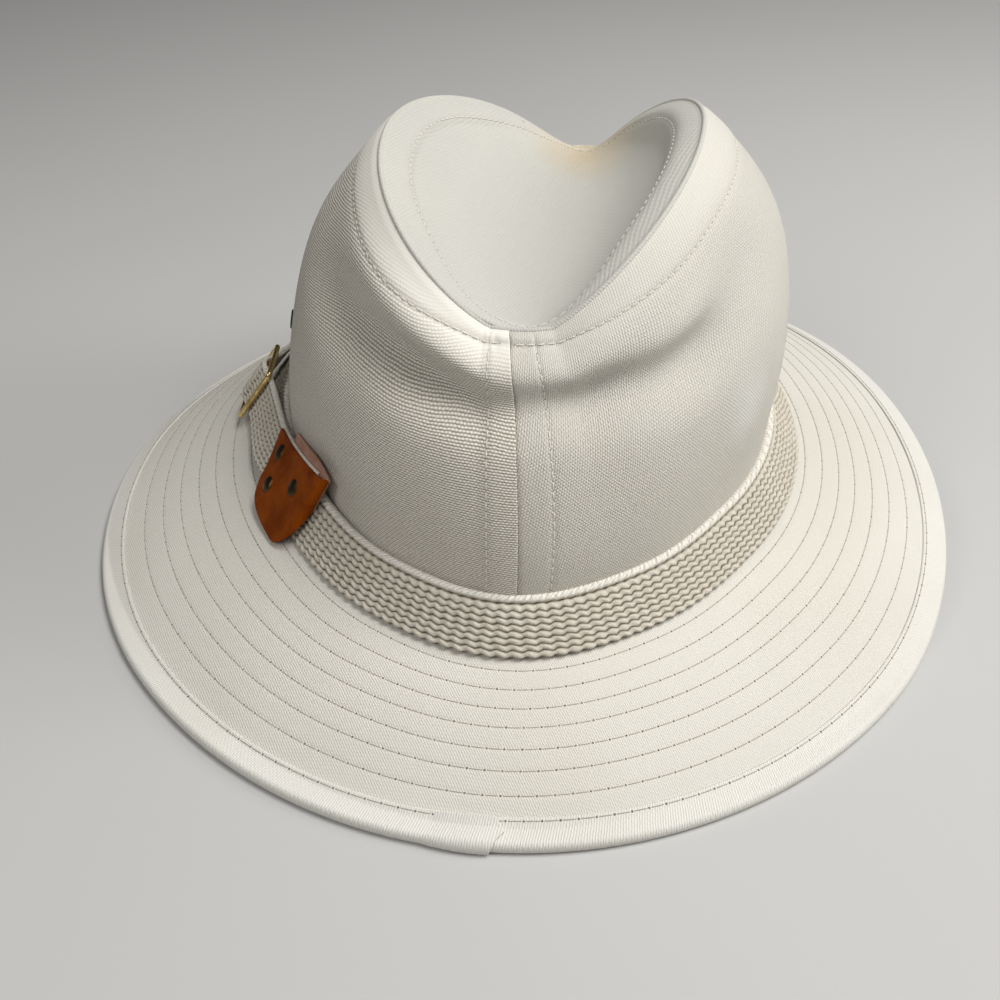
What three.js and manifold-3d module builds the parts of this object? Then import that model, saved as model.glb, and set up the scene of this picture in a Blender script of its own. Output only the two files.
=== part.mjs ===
// Safari fedora of cream cotton twill, in millimetres with +Z up, resting by its brim on Z = 0.
// The front of the hat faces +Y, and the wearer's left side, with the buckle, faces -X.
// Angles run counter-clockwise round the crown from +X, so the back centre seam is at -90.
import * as THREE from "three";
import { mergeVertices } from "three/addons/utils/BufferGeometryUtils.js";
import Module from "manifold-3d";

const wasm = await Module();
wasm.setup();

// Thicknesses, and the clearance between pieces that meet
const GAP = 0.3;
const BINDING_GAP = 0.45;
const RIM_GAP = 0.9;
const CROWN_CLOTH = 1.5;
const BRIM_CLOTH = 1.9;
const TAPE = 1.0;
const WEBBING = 1.8;
const TAIL_WEBBING = 1.5;
const LEATHER = 1.2;

// The head opening: its centre over the brim, its height above the surface and its tip up at the front
const HEAD = { right: 0.8, forward: 9.9, height: 37.4, tilt: 1.9 };

// Outside of the crown at the band: pointed at the back seam, and pressed flat behind the buckle
const BASE_OUTLINE = [
  { angle: 0, reach: 85 },
  { angle: 45, reach: 90.5 },
  { angle: 90, reach: 101 },
  { angle: 135, reach: 91.5 },
  { angle: 180, reach: 83.5 },
  { angle: 205, reach: 83.5 },
  { angle: 225, reach: 88 },
  { angle: 250, reach: 100 },
  { angle: 270, reach: 107.5 },
  { angle: 290, reach: 101 },
  { angle: 315, reach: 91 },
];

// The wall stands straight behind the band, from its lower edge to the top of the band
const BASE = { drop: 4.6, straight: 5 };

// Rim seam between the side panels and the tip: plan half sizes, heights, and the blunt ends of the crease
const RIM = { left: 53, right: 44, front: 68, back: 77 };
const RIM_HEIGHT = { side: 98.5, back: 71, front: 63.5, rise: 1.1, frontRise: 0.83 };
const BLUNT_END = 10;

// Centre seams between the side panels at the rim, and how far round the back one turns on its way down
const SEAMS = { back: -95, front: 90 };
const SEAM_TURN = { degrees: 5, spread: 30 };

// The soft crown leans to the right and twists, more towards the rim
const LEAN = { right: 10.6, forward: 4, twist: 9 };

// How late each wall rounds over towards the rim: a higher power is a squarer shoulder
const SHOULDER = { left: 3.1, right: 3.6, ends: 2.1 };

// Dents in the side panels, and swellings where the depth is negative: place round the crown, share of the
// height, depth and spreads. They end at the rim, and closer to it with a higher power.
const DENTS = [
  { angle: -117, share: 0.76, depth: 6.0, spread: 21, tall: 0.11 },
  { angle: -62, share: 0.77, depth: 6.0, spread: 20, tall: 0.11 },
  { angle: -32, share: 0.74, depth: 3.4, spread: 16, tall: 0.12 },
  { angle: 118, share: 0.76, depth: 3.5, spread: 20, tall: 0.11 },
  { angle: 62, share: 0.76, depth: 3.5, spread: 20, tall: 0.11 },
  { angle: 227, share: 0.1, depth: 2.2, spread: 13, tall: 0.11 },
  { angle: -119, share: 0.91, depth: -4.8, spread: 25, tall: 0.075 },
  { angle: -68, share: 0.91, depth: -4.4, spread: 25, tall: 0.075 },
  { angle: 118, share: 0.91, depth: -3.6, spread: 22, tall: 0.075 },
  { angle: 62, share: 0.91, depth: -3.6, spread: 22, tall: 0.075 },
];
const DENT_END = 14;

// Floor of the centre crease, its place across the tip and the roundness of its walls
const CREASE = { back: 70.5, middle: 64.5, front: 63, place: 0.58, roundness: 1.3, endFade: 6 };

// Brim: its inner edge under the crown, the foot of the band on it, its outer edge and its crown
const BRIM = { inset: 3, innerDrop: 4.9, footReach: 13.6, footDrop: 10.7, footShare: 0.22, bow: 2.2 };
const BRIM_EDGE = [
  { angle: 0, reach: 148.2, lift: 13.7 },
  { angle: 45, reach: 148.2, lift: 14.7 },
  { angle: 90, reach: 148.6, lift: 0.8 },
  { angle: 135, reach: 142.0, lift: 0.0 },
  { angle: 180, reach: 149.4, lift: 3.8 },
  { angle: 225, reach: 159.5, lift: 0.0 },
  { angle: 270, reach: 168.4, lift: 0.4 },
  { angle: 315, reach: 159.5, lift: 1.4 },
];

// Height of the brim's top where its binding rests, how far a free edge would hang below that,
// and the share of the brim from which its edge is pressed flat
const EDGE_REST = TAPE + BINDING_GAP + BRIM_CLOTH;
const EDGE_PRESS = 2.8;
const EDGE_SHARE = 0.94;
const BINDING_LEG = 7.5;

// Webbing band, flaring out from the crown over the brim
const BAND = { width: 18.2, top: 3.3, lean: 43.7, stand: 0.6 };

// Loose end of the webbing: its edges, where it leaves the band, and its places in the tab
const TAIL = { top: 0.4, bottom: 18.6, steps: 34, start: 148, leaves: 155 };
const TAIL_IN_TAB = { from: -4, to: 31, step: 7 };

// Brass slide: its place round the band, its slope and stand, and its bars
const BUCKLE = { angle: 177, lean: 36, stand: 7, length: 21, reach: 24, overhang: 2.3, bar: 2.2, thick: 1.8 };
const STRAP_LIFT = BUCKLE.thick / 2 + 2.5 * GAP + TAIL_WEBBING / 2;

// Leather tab folded round the end of the webbing: its far end lies on the band, its fold rides up the crown
const TAB = { length: 43, columns: 6, foldStep: 45 };
const TAB_BACK = { length: 24, columns: 2, bottom: 9, rise: 1 };
const TAB_ENDS = [
  { along: 0, angle: 202, reach: 3.2, height: 5.9, lean: 43 },
  { along: TAB.length, angle: 228, reach: 1.9, height: 12.4, lean: 31 },
];

// Outline of the front of the tab: where it starts and where it folds, at places across it
const TAB_EDGES = [
  { across: -0.9, far: 3.4, fold: 47.2 },
  { across: 7, far: 9.6, fold: 46 },
  { across: 15.5, far: 12.8, fold: 44.9 },
  { across: 21.6, far: 16.5, fold: 43.9 },
  { across: 25.2, far: 24.2, fold: 42.2 },
  { across: 27.6, far: 36, fold: 40 },
];
const LAYER = TAIL_WEBBING / 2 + GAP + LEATHER / 2;

// Rivets through the tab, and vent eyelets through the crown
const RIVET = { head: 3.0, shank: 1.1, rim: 0.5, crown: 2.1, shoulder: 1.1, dome: 1.4, sides: 14 };
const RIVETS = [
  { along: 14.6, across: 4.2 },
  { along: 19.6, across: 14.9 },
  { along: 34.2, across: 8.3 },
];
const EYELET = { hole: 1.7, barrel: 2.3, flange: 3.6, face: 0.9, back: 0.7, sides: 8, height: 33 };
const EYELETS = [
  { name: "eyelet_left_front", angle: 175.5 },
  { name: "eyelet_left_back", angle: 185 },
  { name: "eyelet_right_front", angle: 3.5 },
  { name: "eyelet_right_back", angle: -6.5 },
];

const COLUMN_STEP = 5;
const WALL_ROWS = 8;
const TIP_COLUMNS = 8;
const EPSILON = 1e-3;
const LEAST_MITRE = 0.35;
const LEAST_UPWARD = 0.5;
const CUTTER = { length: 12, sides: 12 };

const COTTON = { color: 0xd9d2c3, roughness: 0.9, metalness: 0 };
const WEB = { color: 0xcfc8ba, roughness: 0.95, metalness: 0 };
const TAN_LEATHER = { color: 0x8a4a1c, roughness: 0.45, metalness: 0 };
const BRASS = { color: 0xa88a4e, roughness: 0.35, metalness: 1 };
const DARK_METAL = { color: 0x2a2018, roughness: 0.4, metalness: 1 };

const radians = THREE.MathUtils.degToRad;
const vector = (x, y, z) => new THREE.Vector3(x, y, z);
const mix = THREE.MathUtils.lerp;

// Shortest signed turn from one angle to another, in degrees
function turnBetween(angle, centre) {
  return THREE.MathUtils.euclideanModulo(angle - centre + 180, 360) - 180;
}

// A soft bump of height one at its centre
function bump(distance, spread) {
  return Math.exp(-((distance / spread) ** 2));
}

// Value of a column of a table at a place between its rows, passing smoothly through each row.
// A table that loops goes on from its last row to its first, a full turn later.
function alongTable(rows, key, column, place, loop = 0) {
  const count = rows.length;
  const row = (i) => {
    const index = loop ? THREE.MathUtils.euclideanModulo(i, count) : THREE.MathUtils.clamp(i, 0, count - 1);
    return { key: rows[index][key] + loop * Math.floor(i / count), value: rows[index][column] };
  };
  let start = loop ? count - 1 : count - 2;
  while (start > 0 && row(start).key > place) start -= 1;
  const [before, a, b, after] = [-1, 0, 1, 2].map((step) => row(start + step));
  const span = b.key - a.key;
  const share = (place - a.key) / span;
  const slope = (from, to) => ((to.value - from.value) / (to.key - from.key || span)) * span;
  const square = share * share;
  const cube = square * share;
  return (2 * cube - 3 * square + 1) * a.value + (cube - 2 * square + share) * slope(before, b)
    + (3 * square - 2 * cube) * b.value + (cube - square) * slope(a, after);
}

// Crown

function baseOval(angle) {
  const reach = alongTable(BASE_OUTLINE, "angle", "reach", THREE.MathUtils.euclideanModulo(angle, 360), 360);
  return vector(reach * Math.cos(radians(angle)), reach * Math.sin(radians(angle)), 0);
}

// The base outline moved outwards by a distance, at a height
function aroundBase(angle, outwards, height) {
  const along = baseOval(angle + EPSILON).sub(baseOval(angle - EPSILON)).normalize();
  const point = baseOval(angle).add(vector(along.y, -along.x, 0).multiplyScalar(outwards));
  point.z = height;
  return point;
}

function rimPlan(angle) {
  const c = Math.cos(radians(angle));
  const s = Math.sin(radians(angle));
  return vector((c < 0 ? RIM.left : RIM.right) * c, (s < 0 ? RIM.back : RIM.front) * s, 0);
}

function rimHeight(angle) {
  const blunt = Math.sin(radians(BLUNT_END));
  const sideways = Math.abs(Math.cos(radians(angle)));
  const front = Math.sin(radians(angle)) > 0;
  const rise = front ? RIM_HEIGHT.frontRise : RIM_HEIGHT.rise;
  const climb = Math.max(0, (sideways - blunt) / (1 - blunt)) ** rise;
  return mix(front ? RIM_HEIGHT.front : RIM_HEIGHT.back, RIM_HEIGHT.side, climb);
}

function leanAt(angle) {
  return vector(LEAN.right + LEAN.twist * Math.sin(radians(angle)), LEAN.forward, 0);
}

function rimPoint(angle) {
  const point = rimPlan(angle).add(leanAt(angle));
  point.z = rimHeight(angle);
  return point;
}

// Outside of a side panel at a rim angle, from its lower edge (share 0) to the rim seam (share 1)
function wallPoint(angle, share) {
  const height = rimHeight(angle);
  const z = mix(-BASE.drop, height, share);
  const rise = Math.max(0, z - BASE.straight) / (height - BASE.straight);
  const sideways = Math.cos(radians(angle));
  const power = mix(SHOULDER.ends, sideways < 0 ? SHOULDER.left : SHOULDER.right, sideways ** 2);
  const turn = SEAM_TURN.degrees * bump(turnBetween(angle, SEAMS.back), SEAM_TURN.spread);
  const point = baseOval(angle + turn).lerp(rimPlan(angle), rise ** power);
  point.addScaledVector(leanAt(angle), rise);
  for (const dent of DENTS) {
    const round = bump(turnBetween(angle, dent.angle), dent.spread);
    const up = bump(rise - dent.share, dent.tall) * (1 - rise ** DENT_END);
    point.addScaledVector(vector(point.x, point.y, 0).normalize(), -dent.depth * round * up);
  }
  point.z = z;
  return point;
}

// Rim angle at each side of the tip, from the back end (station 0) to the front end (station 1)
function tipAngle(station, left) {
  const turn = mix(-90 + BLUNT_END, 90 - BLUNT_END, station);
  return left ? 180 - turn : turn;
}

function creaseFloor(station) {
  const ends = mix(CREASE.back, CREASE.front, station);
  const middle = 4 * station * (1 - station);
  return ends + middle * (CREASE.middle - (CREASE.back + CREASE.front) / 2);
}

// Outside of the tip, from its left rim (across 0) to its right rim (across 1)
function tipPoint(station, across) {
  const left = rimPoint(tipAngle(station, true));
  const right = rimPoint(tipAngle(station, false));
  const point = left.clone().lerp(right, across);
  const fold = across < CREASE.place
    ? (0.5 * across) / CREASE.place
    : 1 - (0.5 * (1 - across)) / (1 - CREASE.place);
  const hollow = (1 - (2 * fold - 1) ** 2) ** CREASE.roundness;
  point.z -= ((left.z + right.z) / 2 - creaseFloor(station)) * hollow;
  for (const [end, side] of [[0, -1], [1, 1]]) {
    const fade = (1 - Math.abs(station - end)) ** CREASE.endFade;
    const rim = rimPoint(side * mix(90 + BLUNT_END, 90 - BLUNT_END, across));
    const corners = [rimPoint(tipAngle(end, true)), rimPoint(tipAngle(end, false))];
    point.addScaledVector(rim.sub(corners[0].lerp(corners[1], across)), fade);
  }
  return point;
}

// Outward normals of the two surfaces, by small steps that stay inside them
function wallNormal(angle, share) {
  const round = wallPoint(angle + EPSILON, share).sub(wallPoint(angle - EPSILON, share));
  const [above, below] = [Math.min(1, share + EPSILON), Math.max(0, share - EPSILON)];
  return round.cross(wallPoint(angle, above).sub(wallPoint(angle, below))).normalize();
}

function tipNormal(station, across) {
  const inside = (value) => THREE.MathUtils.clamp(value, EPSILON, 1 - EPSILON);
  const s = inside(station);
  const a = inside(across);
  const alongA = tipPoint(s, a + EPSILON).sub(tipPoint(s, a - EPSILON));
  const alongS = tipPoint(s + EPSILON, a).sub(tipPoint(s - EPSILON, a));
  return alongA.cross(alongS).normalize();
}

// Where a rim angle lies on the tip, as a station and a place across
function tipPlace(angle) {
  const turn = turnBetween(angle, 0);
  const left = Math.abs(turn) > 90;
  const fromSide = left ? Math.sign(turn) * 180 - turn : turn;
  const reach = 90 - BLUNT_END;
  if (Math.abs(fromSide) <= reach) return [(fromSide + reach) / (2 * reach), left ? 0 : 1];
  const offset = (90 - Math.abs(fromSide)) / (2 * BLUNT_END);
  return [fromSide < 0 ? 0 : 1, left ? 0.5 - offset : 0.5 + offset];
}

// The mitre where a side panel meets the tip: the way in through the cloth, and the way across to the tip
function rimMitre(angle) {
  const wall = wallNormal(angle, 1);
  const tip = tipNormal(...tipPlace(angle));
  const outwards = wall.clone().add(tip).normalize();
  const depth = CROWN_CLOTH / Math.max(outwards.dot(wall), LEAST_MITRE);
  const round = rimPoint(angle + EPSILON).sub(rimPoint(angle - EPSILON));
  return {
    inwards: outwards.clone().multiplyScalar(-depth),
    toTip: outwards.cross(round).normalize().multiplyScalar(RIM_GAP / 2),
  };
}

// Solids

// A geometry from rows of points, closed and facing outwards
function solidFrom(points, faces) {
  const geometry = new THREE.BufferGeometry();
  geometry.setAttribute("position", new THREE.Float32BufferAttribute(points.flatMap((p) => p.toArray()), 3));
  const volume = faces.reduce((sum, [a, b, c]) => {
    return sum + points[a].dot(points[b].clone().sub(points[a]).cross(points[c].clone().sub(points[a])));
  }, 0);
  const outwards = volume < 0 ? faces.map(([a, b, c]) => [a, c, b]) : faces;
  geometry.setIndex(outwards.flat());
  return geometry;
}

// A wall between an outer and an inner grid of rows, open at all its edges or closed round its columns
function wallSolid(outer, inner, loop = false) {
  const rows = outer.length;
  const columns = outer[0].length;
  const points = [...outer.flat(), ...inner.flat()];
  const at = (layer, row, column) => layer * rows * columns + row * columns + (column % columns);
  const faces = [];
  const quad = (a, b, c, d) => faces.push([a, b, c], [a, c, d]);
  const steps = loop ? columns : columns - 1;
  for (let column = 0; column < steps; column += 1) {
    for (let row = 0; row + 1 < rows; row += 1) {
      quad(at(0, row, column), at(0, row, column + 1), at(0, row + 1, column + 1), at(0, row + 1, column));
      quad(at(1, row, column), at(1, row + 1, column), at(1, row + 1, column + 1), at(1, row, column + 1));
    }
    quad(at(0, 0, column), at(1, 0, column), at(1, 0, column + 1), at(0, 0, column + 1));
    const last = rows - 1;
    quad(at(0, last, column), at(0, last, column + 1), at(1, last, column + 1), at(1, last, column));
  }
  for (let row = 0; row + 1 < rows && !loop; row += 1) {
    const last = columns - 1;
    quad(at(0, row, 0), at(0, row + 1, 0), at(1, row + 1, 0), at(1, row, 0));
    quad(at(0, row, last), at(1, row, last), at(1, row + 1, last), at(0, row + 1, last));
  }
  return solidFrom(points, faces);
}

// A ring swept through closed sections
function ringSolid(sections) {
  const size = sections[0].length;
  const count = sections.length;
  const at = (section, point) => (section % count) * size + (point % size);
  const faces = [];
  for (let section = 0; section < count; section += 1) {
    for (let point = 0; point < size; point += 1) {
      const corners = [at(section, point), at(section + 1, point)];
      const next = [at(section + 1, point + 1), at(section, point + 1)];
      faces.push([corners[0], corners[1], next[0]], [corners[0], next[0], next[1]]);
    }
  }
  return solidFrom(sections.flat(), faces);
}

function toManifold(geometry) {
  const bare = geometry.clone();
  bare.deleteAttribute("normal");
  bare.deleteAttribute("uv");
  const merged = mergeVertices(bare, EPSILON);
  return new wasm.Manifold(new wasm.Mesh({
    numProp: 3,
    vertProperties: new Float32Array(merged.attributes.position.array),
    triVerts: new Uint32Array(merged.index.array),
  }));
}

// A geometry with other geometries cut out of it
function cutFrom(geometry, tools) {
  const left = tools.reduce((solid, tool) => solid.subtract(toManifold(tool)), toManifold(geometry));
  const mesh = left.getMesh();
  const result = new THREE.BufferGeometry();
  result.setAttribute("position", new THREE.Float32BufferAttribute(mesh.vertProperties, 3));
  result.setIndex([...mesh.triVerts]);
  return result;
}

function cutter(radius) {
  return new THREE.CylinderGeometry(radius, radius, CUTTER.length, CUTTER.sides);
}

// A turned geometry, made about +Y, stood at a place with +Y along a direction
function standAt(geometry, place, direction) {
  const turn = new THREE.Quaternion().setFromUnitVectors(vector(0, 1, 0), direction);
  return geometry.applyQuaternion(turn).translate(place.x, place.y, place.z);
}

// Evenly stepped values, both ends included
function stepsBetween(from, to, step = COLUMN_STEP) {
  const count = Math.round((to - from) / step);
  return Array.from({ length: count + 1 }, (_, i) => from + i * step);
}

const FULL_TURN = stepsBetween(0, 360 - COLUMN_STEP);

// Rim angles at the sides of the tip, which keep clear of its blunt ends
const TIP_TURNS = [
  -90 + BLUNT_END,
  ...stepsBetween(-90 + 2 * BLUNT_END, 90 - 2 * BLUNT_END),
  90 - BLUNT_END,
];

// Columns of a side panel, the same as those round the rim of the tip
function panelAngles(from, to) {
  const endStep = (2 * BLUNT_END) / TIP_COLUMNS;
  const halfTurn = [
    ...stepsBetween(-90 - BLUNT_END, -90 + BLUNT_END, endStep),
    ...TIP_TURNS.slice(1, -1),
  ];
  const columns = [0, 180, 360].flatMap((start) => halfTurn.map((angle) => angle + start));
  return columns.filter((angle) => angle >= from && angle <= to);
}

// Pieces of the crown

// Place and outward direction of a vent eyelet on the wall
function eyeletSeat(angle) {
  const share = (EYELET.height + BASE.drop) / (rimHeight(angle) + BASE.drop);
  return { place: wallPoint(angle, share), direction: wallNormal(angle, share) };
}

function sidePanel(from, to, seamShift) {
  const outer = [];
  const inner = [];
  for (let row = 0; row <= WALL_ROWS; row += 1) {
    const share = row / WALL_ROWS;
    const outerRow = [];
    const innerRow = [];
    for (const angle of panelAngles(from, to)) {
      const point = wallPoint(angle, share);
      const inwards = wallNormal(angle, share).multiplyScalar(-CROWN_CLOTH);
      if (row === WALL_ROWS) {
        const mitre = rimMitre(angle);
        point.sub(mitre.toTip);
        inwards.copy(mitre.inwards);
      }
      if (angle === from || angle === to) point.x += seamShift;
      outerRow.push(point);
      innerRow.push(point.clone().add(inwards));
    }
    outer.push(outerRow);
    inner.push(innerRow);
  }
  const middle = (from + to) / 2;
  const own = EYELETS.filter(({ angle }) => Math.abs(turnBetween(angle, middle)) < 90);
  const holes = own.map(({ angle }) => {
    const { place, direction } = eyeletSeat(angle);
    return standAt(cutter(EYELET.barrel + GAP), place, direction);
  });
  return cutFrom(wallSolid(outer, inner), holes);
}

function crownTip() {
  const outer = [];
  const inner = [];
  for (const turn of TIP_TURNS) {
    const outerRow = [];
    const innerRow = [];
    const station = (turn + 90 - BLUNT_END) / (180 - 2 * BLUNT_END);
    for (let column = 0; column <= TIP_COLUMNS; column += 1) {
      const across = column / TIP_COLUMNS;
      const point = tipPoint(station, across);
      const inwards = vector(0, 0, -CROWN_CLOTH / Math.max(tipNormal(station, across).z, LEAST_UPWARD));
      const ends = station === 0 || station === 1;
      if (ends || column === 0 || column === TIP_COLUMNS) {
        const end = Math.sign(station - 0.5) * mix(90 + BLUNT_END, 90 - BLUNT_END, across);
        const mitre = rimMitre(ends ? end : tipAngle(station, column === 0));
        point.add(mitre.toTip);
        inwards.copy(mitre.inwards);
      }
      outerRow.push(point);
      innerRow.push(point.clone().add(inwards));
    }
    outer.push(outerRow);
    inner.push(innerRow);
  }
  return wallSolid(outer, inner);
}

function eyelet(angle) {
  const { place, direction } = eyeletSeat(angle);
  const inside = -CROWN_CLOTH - GAP;
  const face = GAP + EYELET.face;
  const profile = [
    [EYELET.hole, face],
    [EYELET.hole, inside - EYELET.back],
    [EYELET.flange, inside - EYELET.back],
    [EYELET.flange, inside],
    [EYELET.barrel, inside],
    [EYELET.barrel, GAP],
    [EYELET.flange, GAP],
    [EYELET.flange, GAP + EYELET.face / 2],
    [EYELET.flange - EYELET.face / 2, face],
    [EYELET.hole, face],
  ].map(([radius, height]) => new THREE.Vector2(radius, height));
  return standAt(new THREE.LatheGeometry(profile, EYELET.sides), place, direction);
}

// Pieces round the crown

function hatBand() {
  const lean = radians(BAND.lean);
  const sections = FULL_TURN.map((angle) => {
    const corner = (across, stand) => aroundBase(
      angle,
      BAND.stand + across * Math.sin(lean) + stand * Math.cos(lean),
      BAND.top - across * Math.cos(lean) + stand * Math.sin(lean));
    return [
      corner(0, 0),
      corner(BAND.width, 0),
      corner(BAND.width, WEBBING),
      corner(BAND.width / 2, WEBBING),
      corner(0, WEBBING),
    ];
  });
  return ringSolid(sections);
}

// Axes on the outside of the band: along it towards the back, across it downwards, and standing off it
class TrimFrame {
  constructor(origin, turn, lean) {
    const outwards = vector(-Math.cos(radians(turn)), -Math.sin(radians(turn)), 0);
    this.origin = origin;
    this.along = vector(Math.sin(radians(turn)), -Math.cos(radians(turn)), 0);
    this.across = outwards.clone().multiplyScalar(Math.sin(radians(lean)));
    this.across.z = -Math.cos(radians(lean));
    this.stand = outwards.clone().multiplyScalar(Math.cos(radians(lean)));
    this.stand.z = Math.sin(radians(lean));
  }

  // A frame whose top edge is outside the base outline, at a height
  static round(angle, outwards, height, lean) {
    const tangent = baseOval(angle + EPSILON).sub(baseOval(angle - EPSILON));
    const turn = THREE.MathUtils.radToDeg(Math.atan2(tangent.x, -tangent.y));
    return new TrimFrame(aroundBase(angle, outwards, height), turn, lean);
  }

  static onBand(angle, lean, stand) {
    const bandLean = radians(BAND.lean);
    const frame = TrimFrame.round(
      angle, BAND.stand + WEBBING * Math.cos(bandLean), BAND.top + WEBBING * Math.sin(bandLean), lean);
    frame.origin.addScaledVector(frame.stand, stand);
    return frame;
  }

  at(along, across, stand) {
    return this.origin.clone()
      .addScaledVector(this.along, along)
      .addScaledVector(this.across, across)
      .addScaledVector(this.stand, stand);
  }

  matrix() {
    return new THREE.Matrix4().makeBasis(this.across, this.along, this.stand).setPosition(this.origin);
  }
}

const buckleFrame = TrimFrame.onBand(BUCKLE.angle, BUCKLE.lean, BUCKLE.stand);

// A place on the tab, which bends round the crown and twists from one end to the other
function onTab(along, across, stand) {
  const [far, near] = TAB_ENDS;
  const at = (column) => mix(far[column], near[column], along / TAB.length);
  return TrimFrame.round(at("angle"), at("reach"), at("height"), at("lean")).at(0, across, stand);
}

// The webbing lies on the band, weaves through the slide and runs straight into the fold of the tab
function bandTail() {
  const bars = BUCKLE.length / 2 - BUCKLE.bar / 2;
  const lift = 2 * GAP + TAIL_WEBBING / 2;
  const onBand = (angle) => (across) => TrimFrame.onBand(angle, BAND.lean, lift).at(0, across, 0);
  const onBuckle = (along, stand) => (across) => buckleFrame.at(along, across, stand);
  const inTab = (along) => (across) => onTab(along, across, 0);
  const stations = [
    ...[TAIL.start, TAIL.leaves].map(onBand),
    onBuckle(-bars, -STRAP_LIFT),
    onBuckle(0, STRAP_LIFT),
    onBuckle(bars, -STRAP_LIFT),
    ...stepsBetween(TAIL_IN_TAB.from, TAIL_IN_TAB.to, TAIL_IN_TAB.step).map(inTab),
    inTab(TAB.length - LAYER - LEATHER),
  ];
  const edge = (across) => new THREE.CatmullRomCurve3(
    stations.map((station) => station(across)), false, "centripetal");
  const edges = [edge(TAIL.top), edge(TAIL.bottom)].map((curve) => curve.getPoints(TAIL.steps));
  const layer = (side) => edges[0].map((_, i) => {
    const before = Math.max(0, i - 1);
    const after = Math.min(TAIL.steps, i + 1);
    const along = edges[0][after].clone().sub(edges[0][before]);
    const normal = along.cross(edges[1][i].clone().sub(edges[0][i])).normalize();
    return edges.map((points) => points[i].clone().addScaledVector(normal, (side * TAIL_WEBBING) / 2));
  });
  return cutFrom(wallSolid(layer(1), layer(-1)), rivetHoles());
}

function buckle() {
  const half = BUCKLE.length / 2;
  const rectangle = (path, x0, y0, x1, y1) => path
    .moveTo(x0, y0).lineTo(x1, y0).lineTo(x1, y1).lineTo(x0, y1).closePath();
  const outline = new THREE.Shape();
  const [top, bottom] = [-BUCKLE.overhang, BUCKLE.reach - BUCKLE.overhang];
  rectangle(outline, top, -half, bottom, half);
  for (const [start, end] of [[-half + BUCKLE.bar, -BUCKLE.bar / 2], [BUCKLE.bar / 2, half - BUCKLE.bar]]) {
    const window = new THREE.Path();
    rectangle(window, top + BUCKLE.bar, start, bottom - BUCKLE.bar, end);
    outline.holes.push(window);
  }
  const bevel = BUCKLE.thick / 4;
  const geometry = new THREE.ExtrudeGeometry(outline, {
    depth: BUCKLE.thick - 2 * bevel,
    bevelSize: bevel,
    bevelThickness: bevel,
    bevelOffset: -bevel,
    bevelSegments: 1,
  });
  return geometry.translate(0, 0, bevel - BUCKLE.thick / 2).applyMatrix4(buckleFrame.matrix());
}

// Where the tab folds at a place across it, at the middle of its bend
function tabFold(across) {
  const inside = Math.max(across, TAB_EDGES[0].across);
  return alongTable(TAB_EDGES, "across", "fold", inside) - LAYER - LEATHER / 2;
}

// Front layer from its far end, round the fold at the near end, and back along the narrower inner layer
function leatherTab() {
  const backStep = 1 / TAB_BACK.columns;
  const path = [
    ...stepsBetween(0, 1, 1 / TAB.columns).map((front) => ({ front, turn: 0, back: 0 })),
    ...stepsBetween(TAB.foldStep, 180, TAB.foldStep).map((turn) => ({ front: 1, turn, back: 0 })),
    ...stepsBetween(backStep, 1, backStep).map((back) => ({ front: 1, turn: 180, back })),
  ];
  const top = TAB_EDGES[0].across;
  const layer = (offset) => path.map(({ front, turn, back }) => TAB_EDGES.map((edge, row) => {
    const innerTop = top - TAB_BACK.rise * Math.sin((back * Math.PI) / 2);
    const inner = mix(innerTop, TAB_BACK.bottom, row / (TAB_EDGES.length - 1));
    const across = mix(edge.across, inner, turn / 180);
    const reach = LAYER + (offset * LEATHER) / 2;
    const along = mix(edge.far, tabFold(across), front) - back * TAB_BACK.length;
    return onTab(along + reach * Math.sin(radians(turn)), across, reach * Math.cos(radians(turn)));
  }));
  return cutFrom(wallSolid(layer(1), layer(-1)), rivetHoles());
}

// Place and outward direction of a rivet in the tab
function rivetSeat({ along, across }) {
  const place = onTab(along, across, 0);
  return { place, direction: onTab(along, across, 1).sub(place).normalize() };
}

function rivetHoles() {
  return RIVETS.map((row) => {
    const { place, direction } = rivetSeat(row);
    return standAt(cutter(RIVET.shank + GAP), place, direction);
  });
}

function rivet(row) {
  const { place, direction } = rivetSeat(row);
  const foot = -TAIL_WEBBING / 2;
  const seat = LAYER + LEATHER / 2 + GAP;
  const profile = [
    [0, foot],
    [RIVET.shank, foot],
    [RIVET.shank, seat],
    [RIVET.head, seat],
    [RIVET.head, seat + RIVET.rim],
    [RIVET.crown, seat + RIVET.shoulder],
    [0, seat + RIVET.dome],
  ].map(([radius, height]) => new THREE.Vector2(radius, height));
  return standAt(new THREE.LatheGeometry(profile, RIVET.sides), place, direction);
}

// Brim, in the frame of the whole hat

const headMatrix = new THREE.Matrix4()
  .makeRotationX(radians(HEAD.tilt))
  .setPosition(HEAD.right, HEAD.forward, HEAD.height);

function edgeColumn(angle, column) {
  return alongTable(BRIM_EDGE, "angle", column, THREE.MathUtils.euclideanModulo(angle, 360), 360);
}

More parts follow.
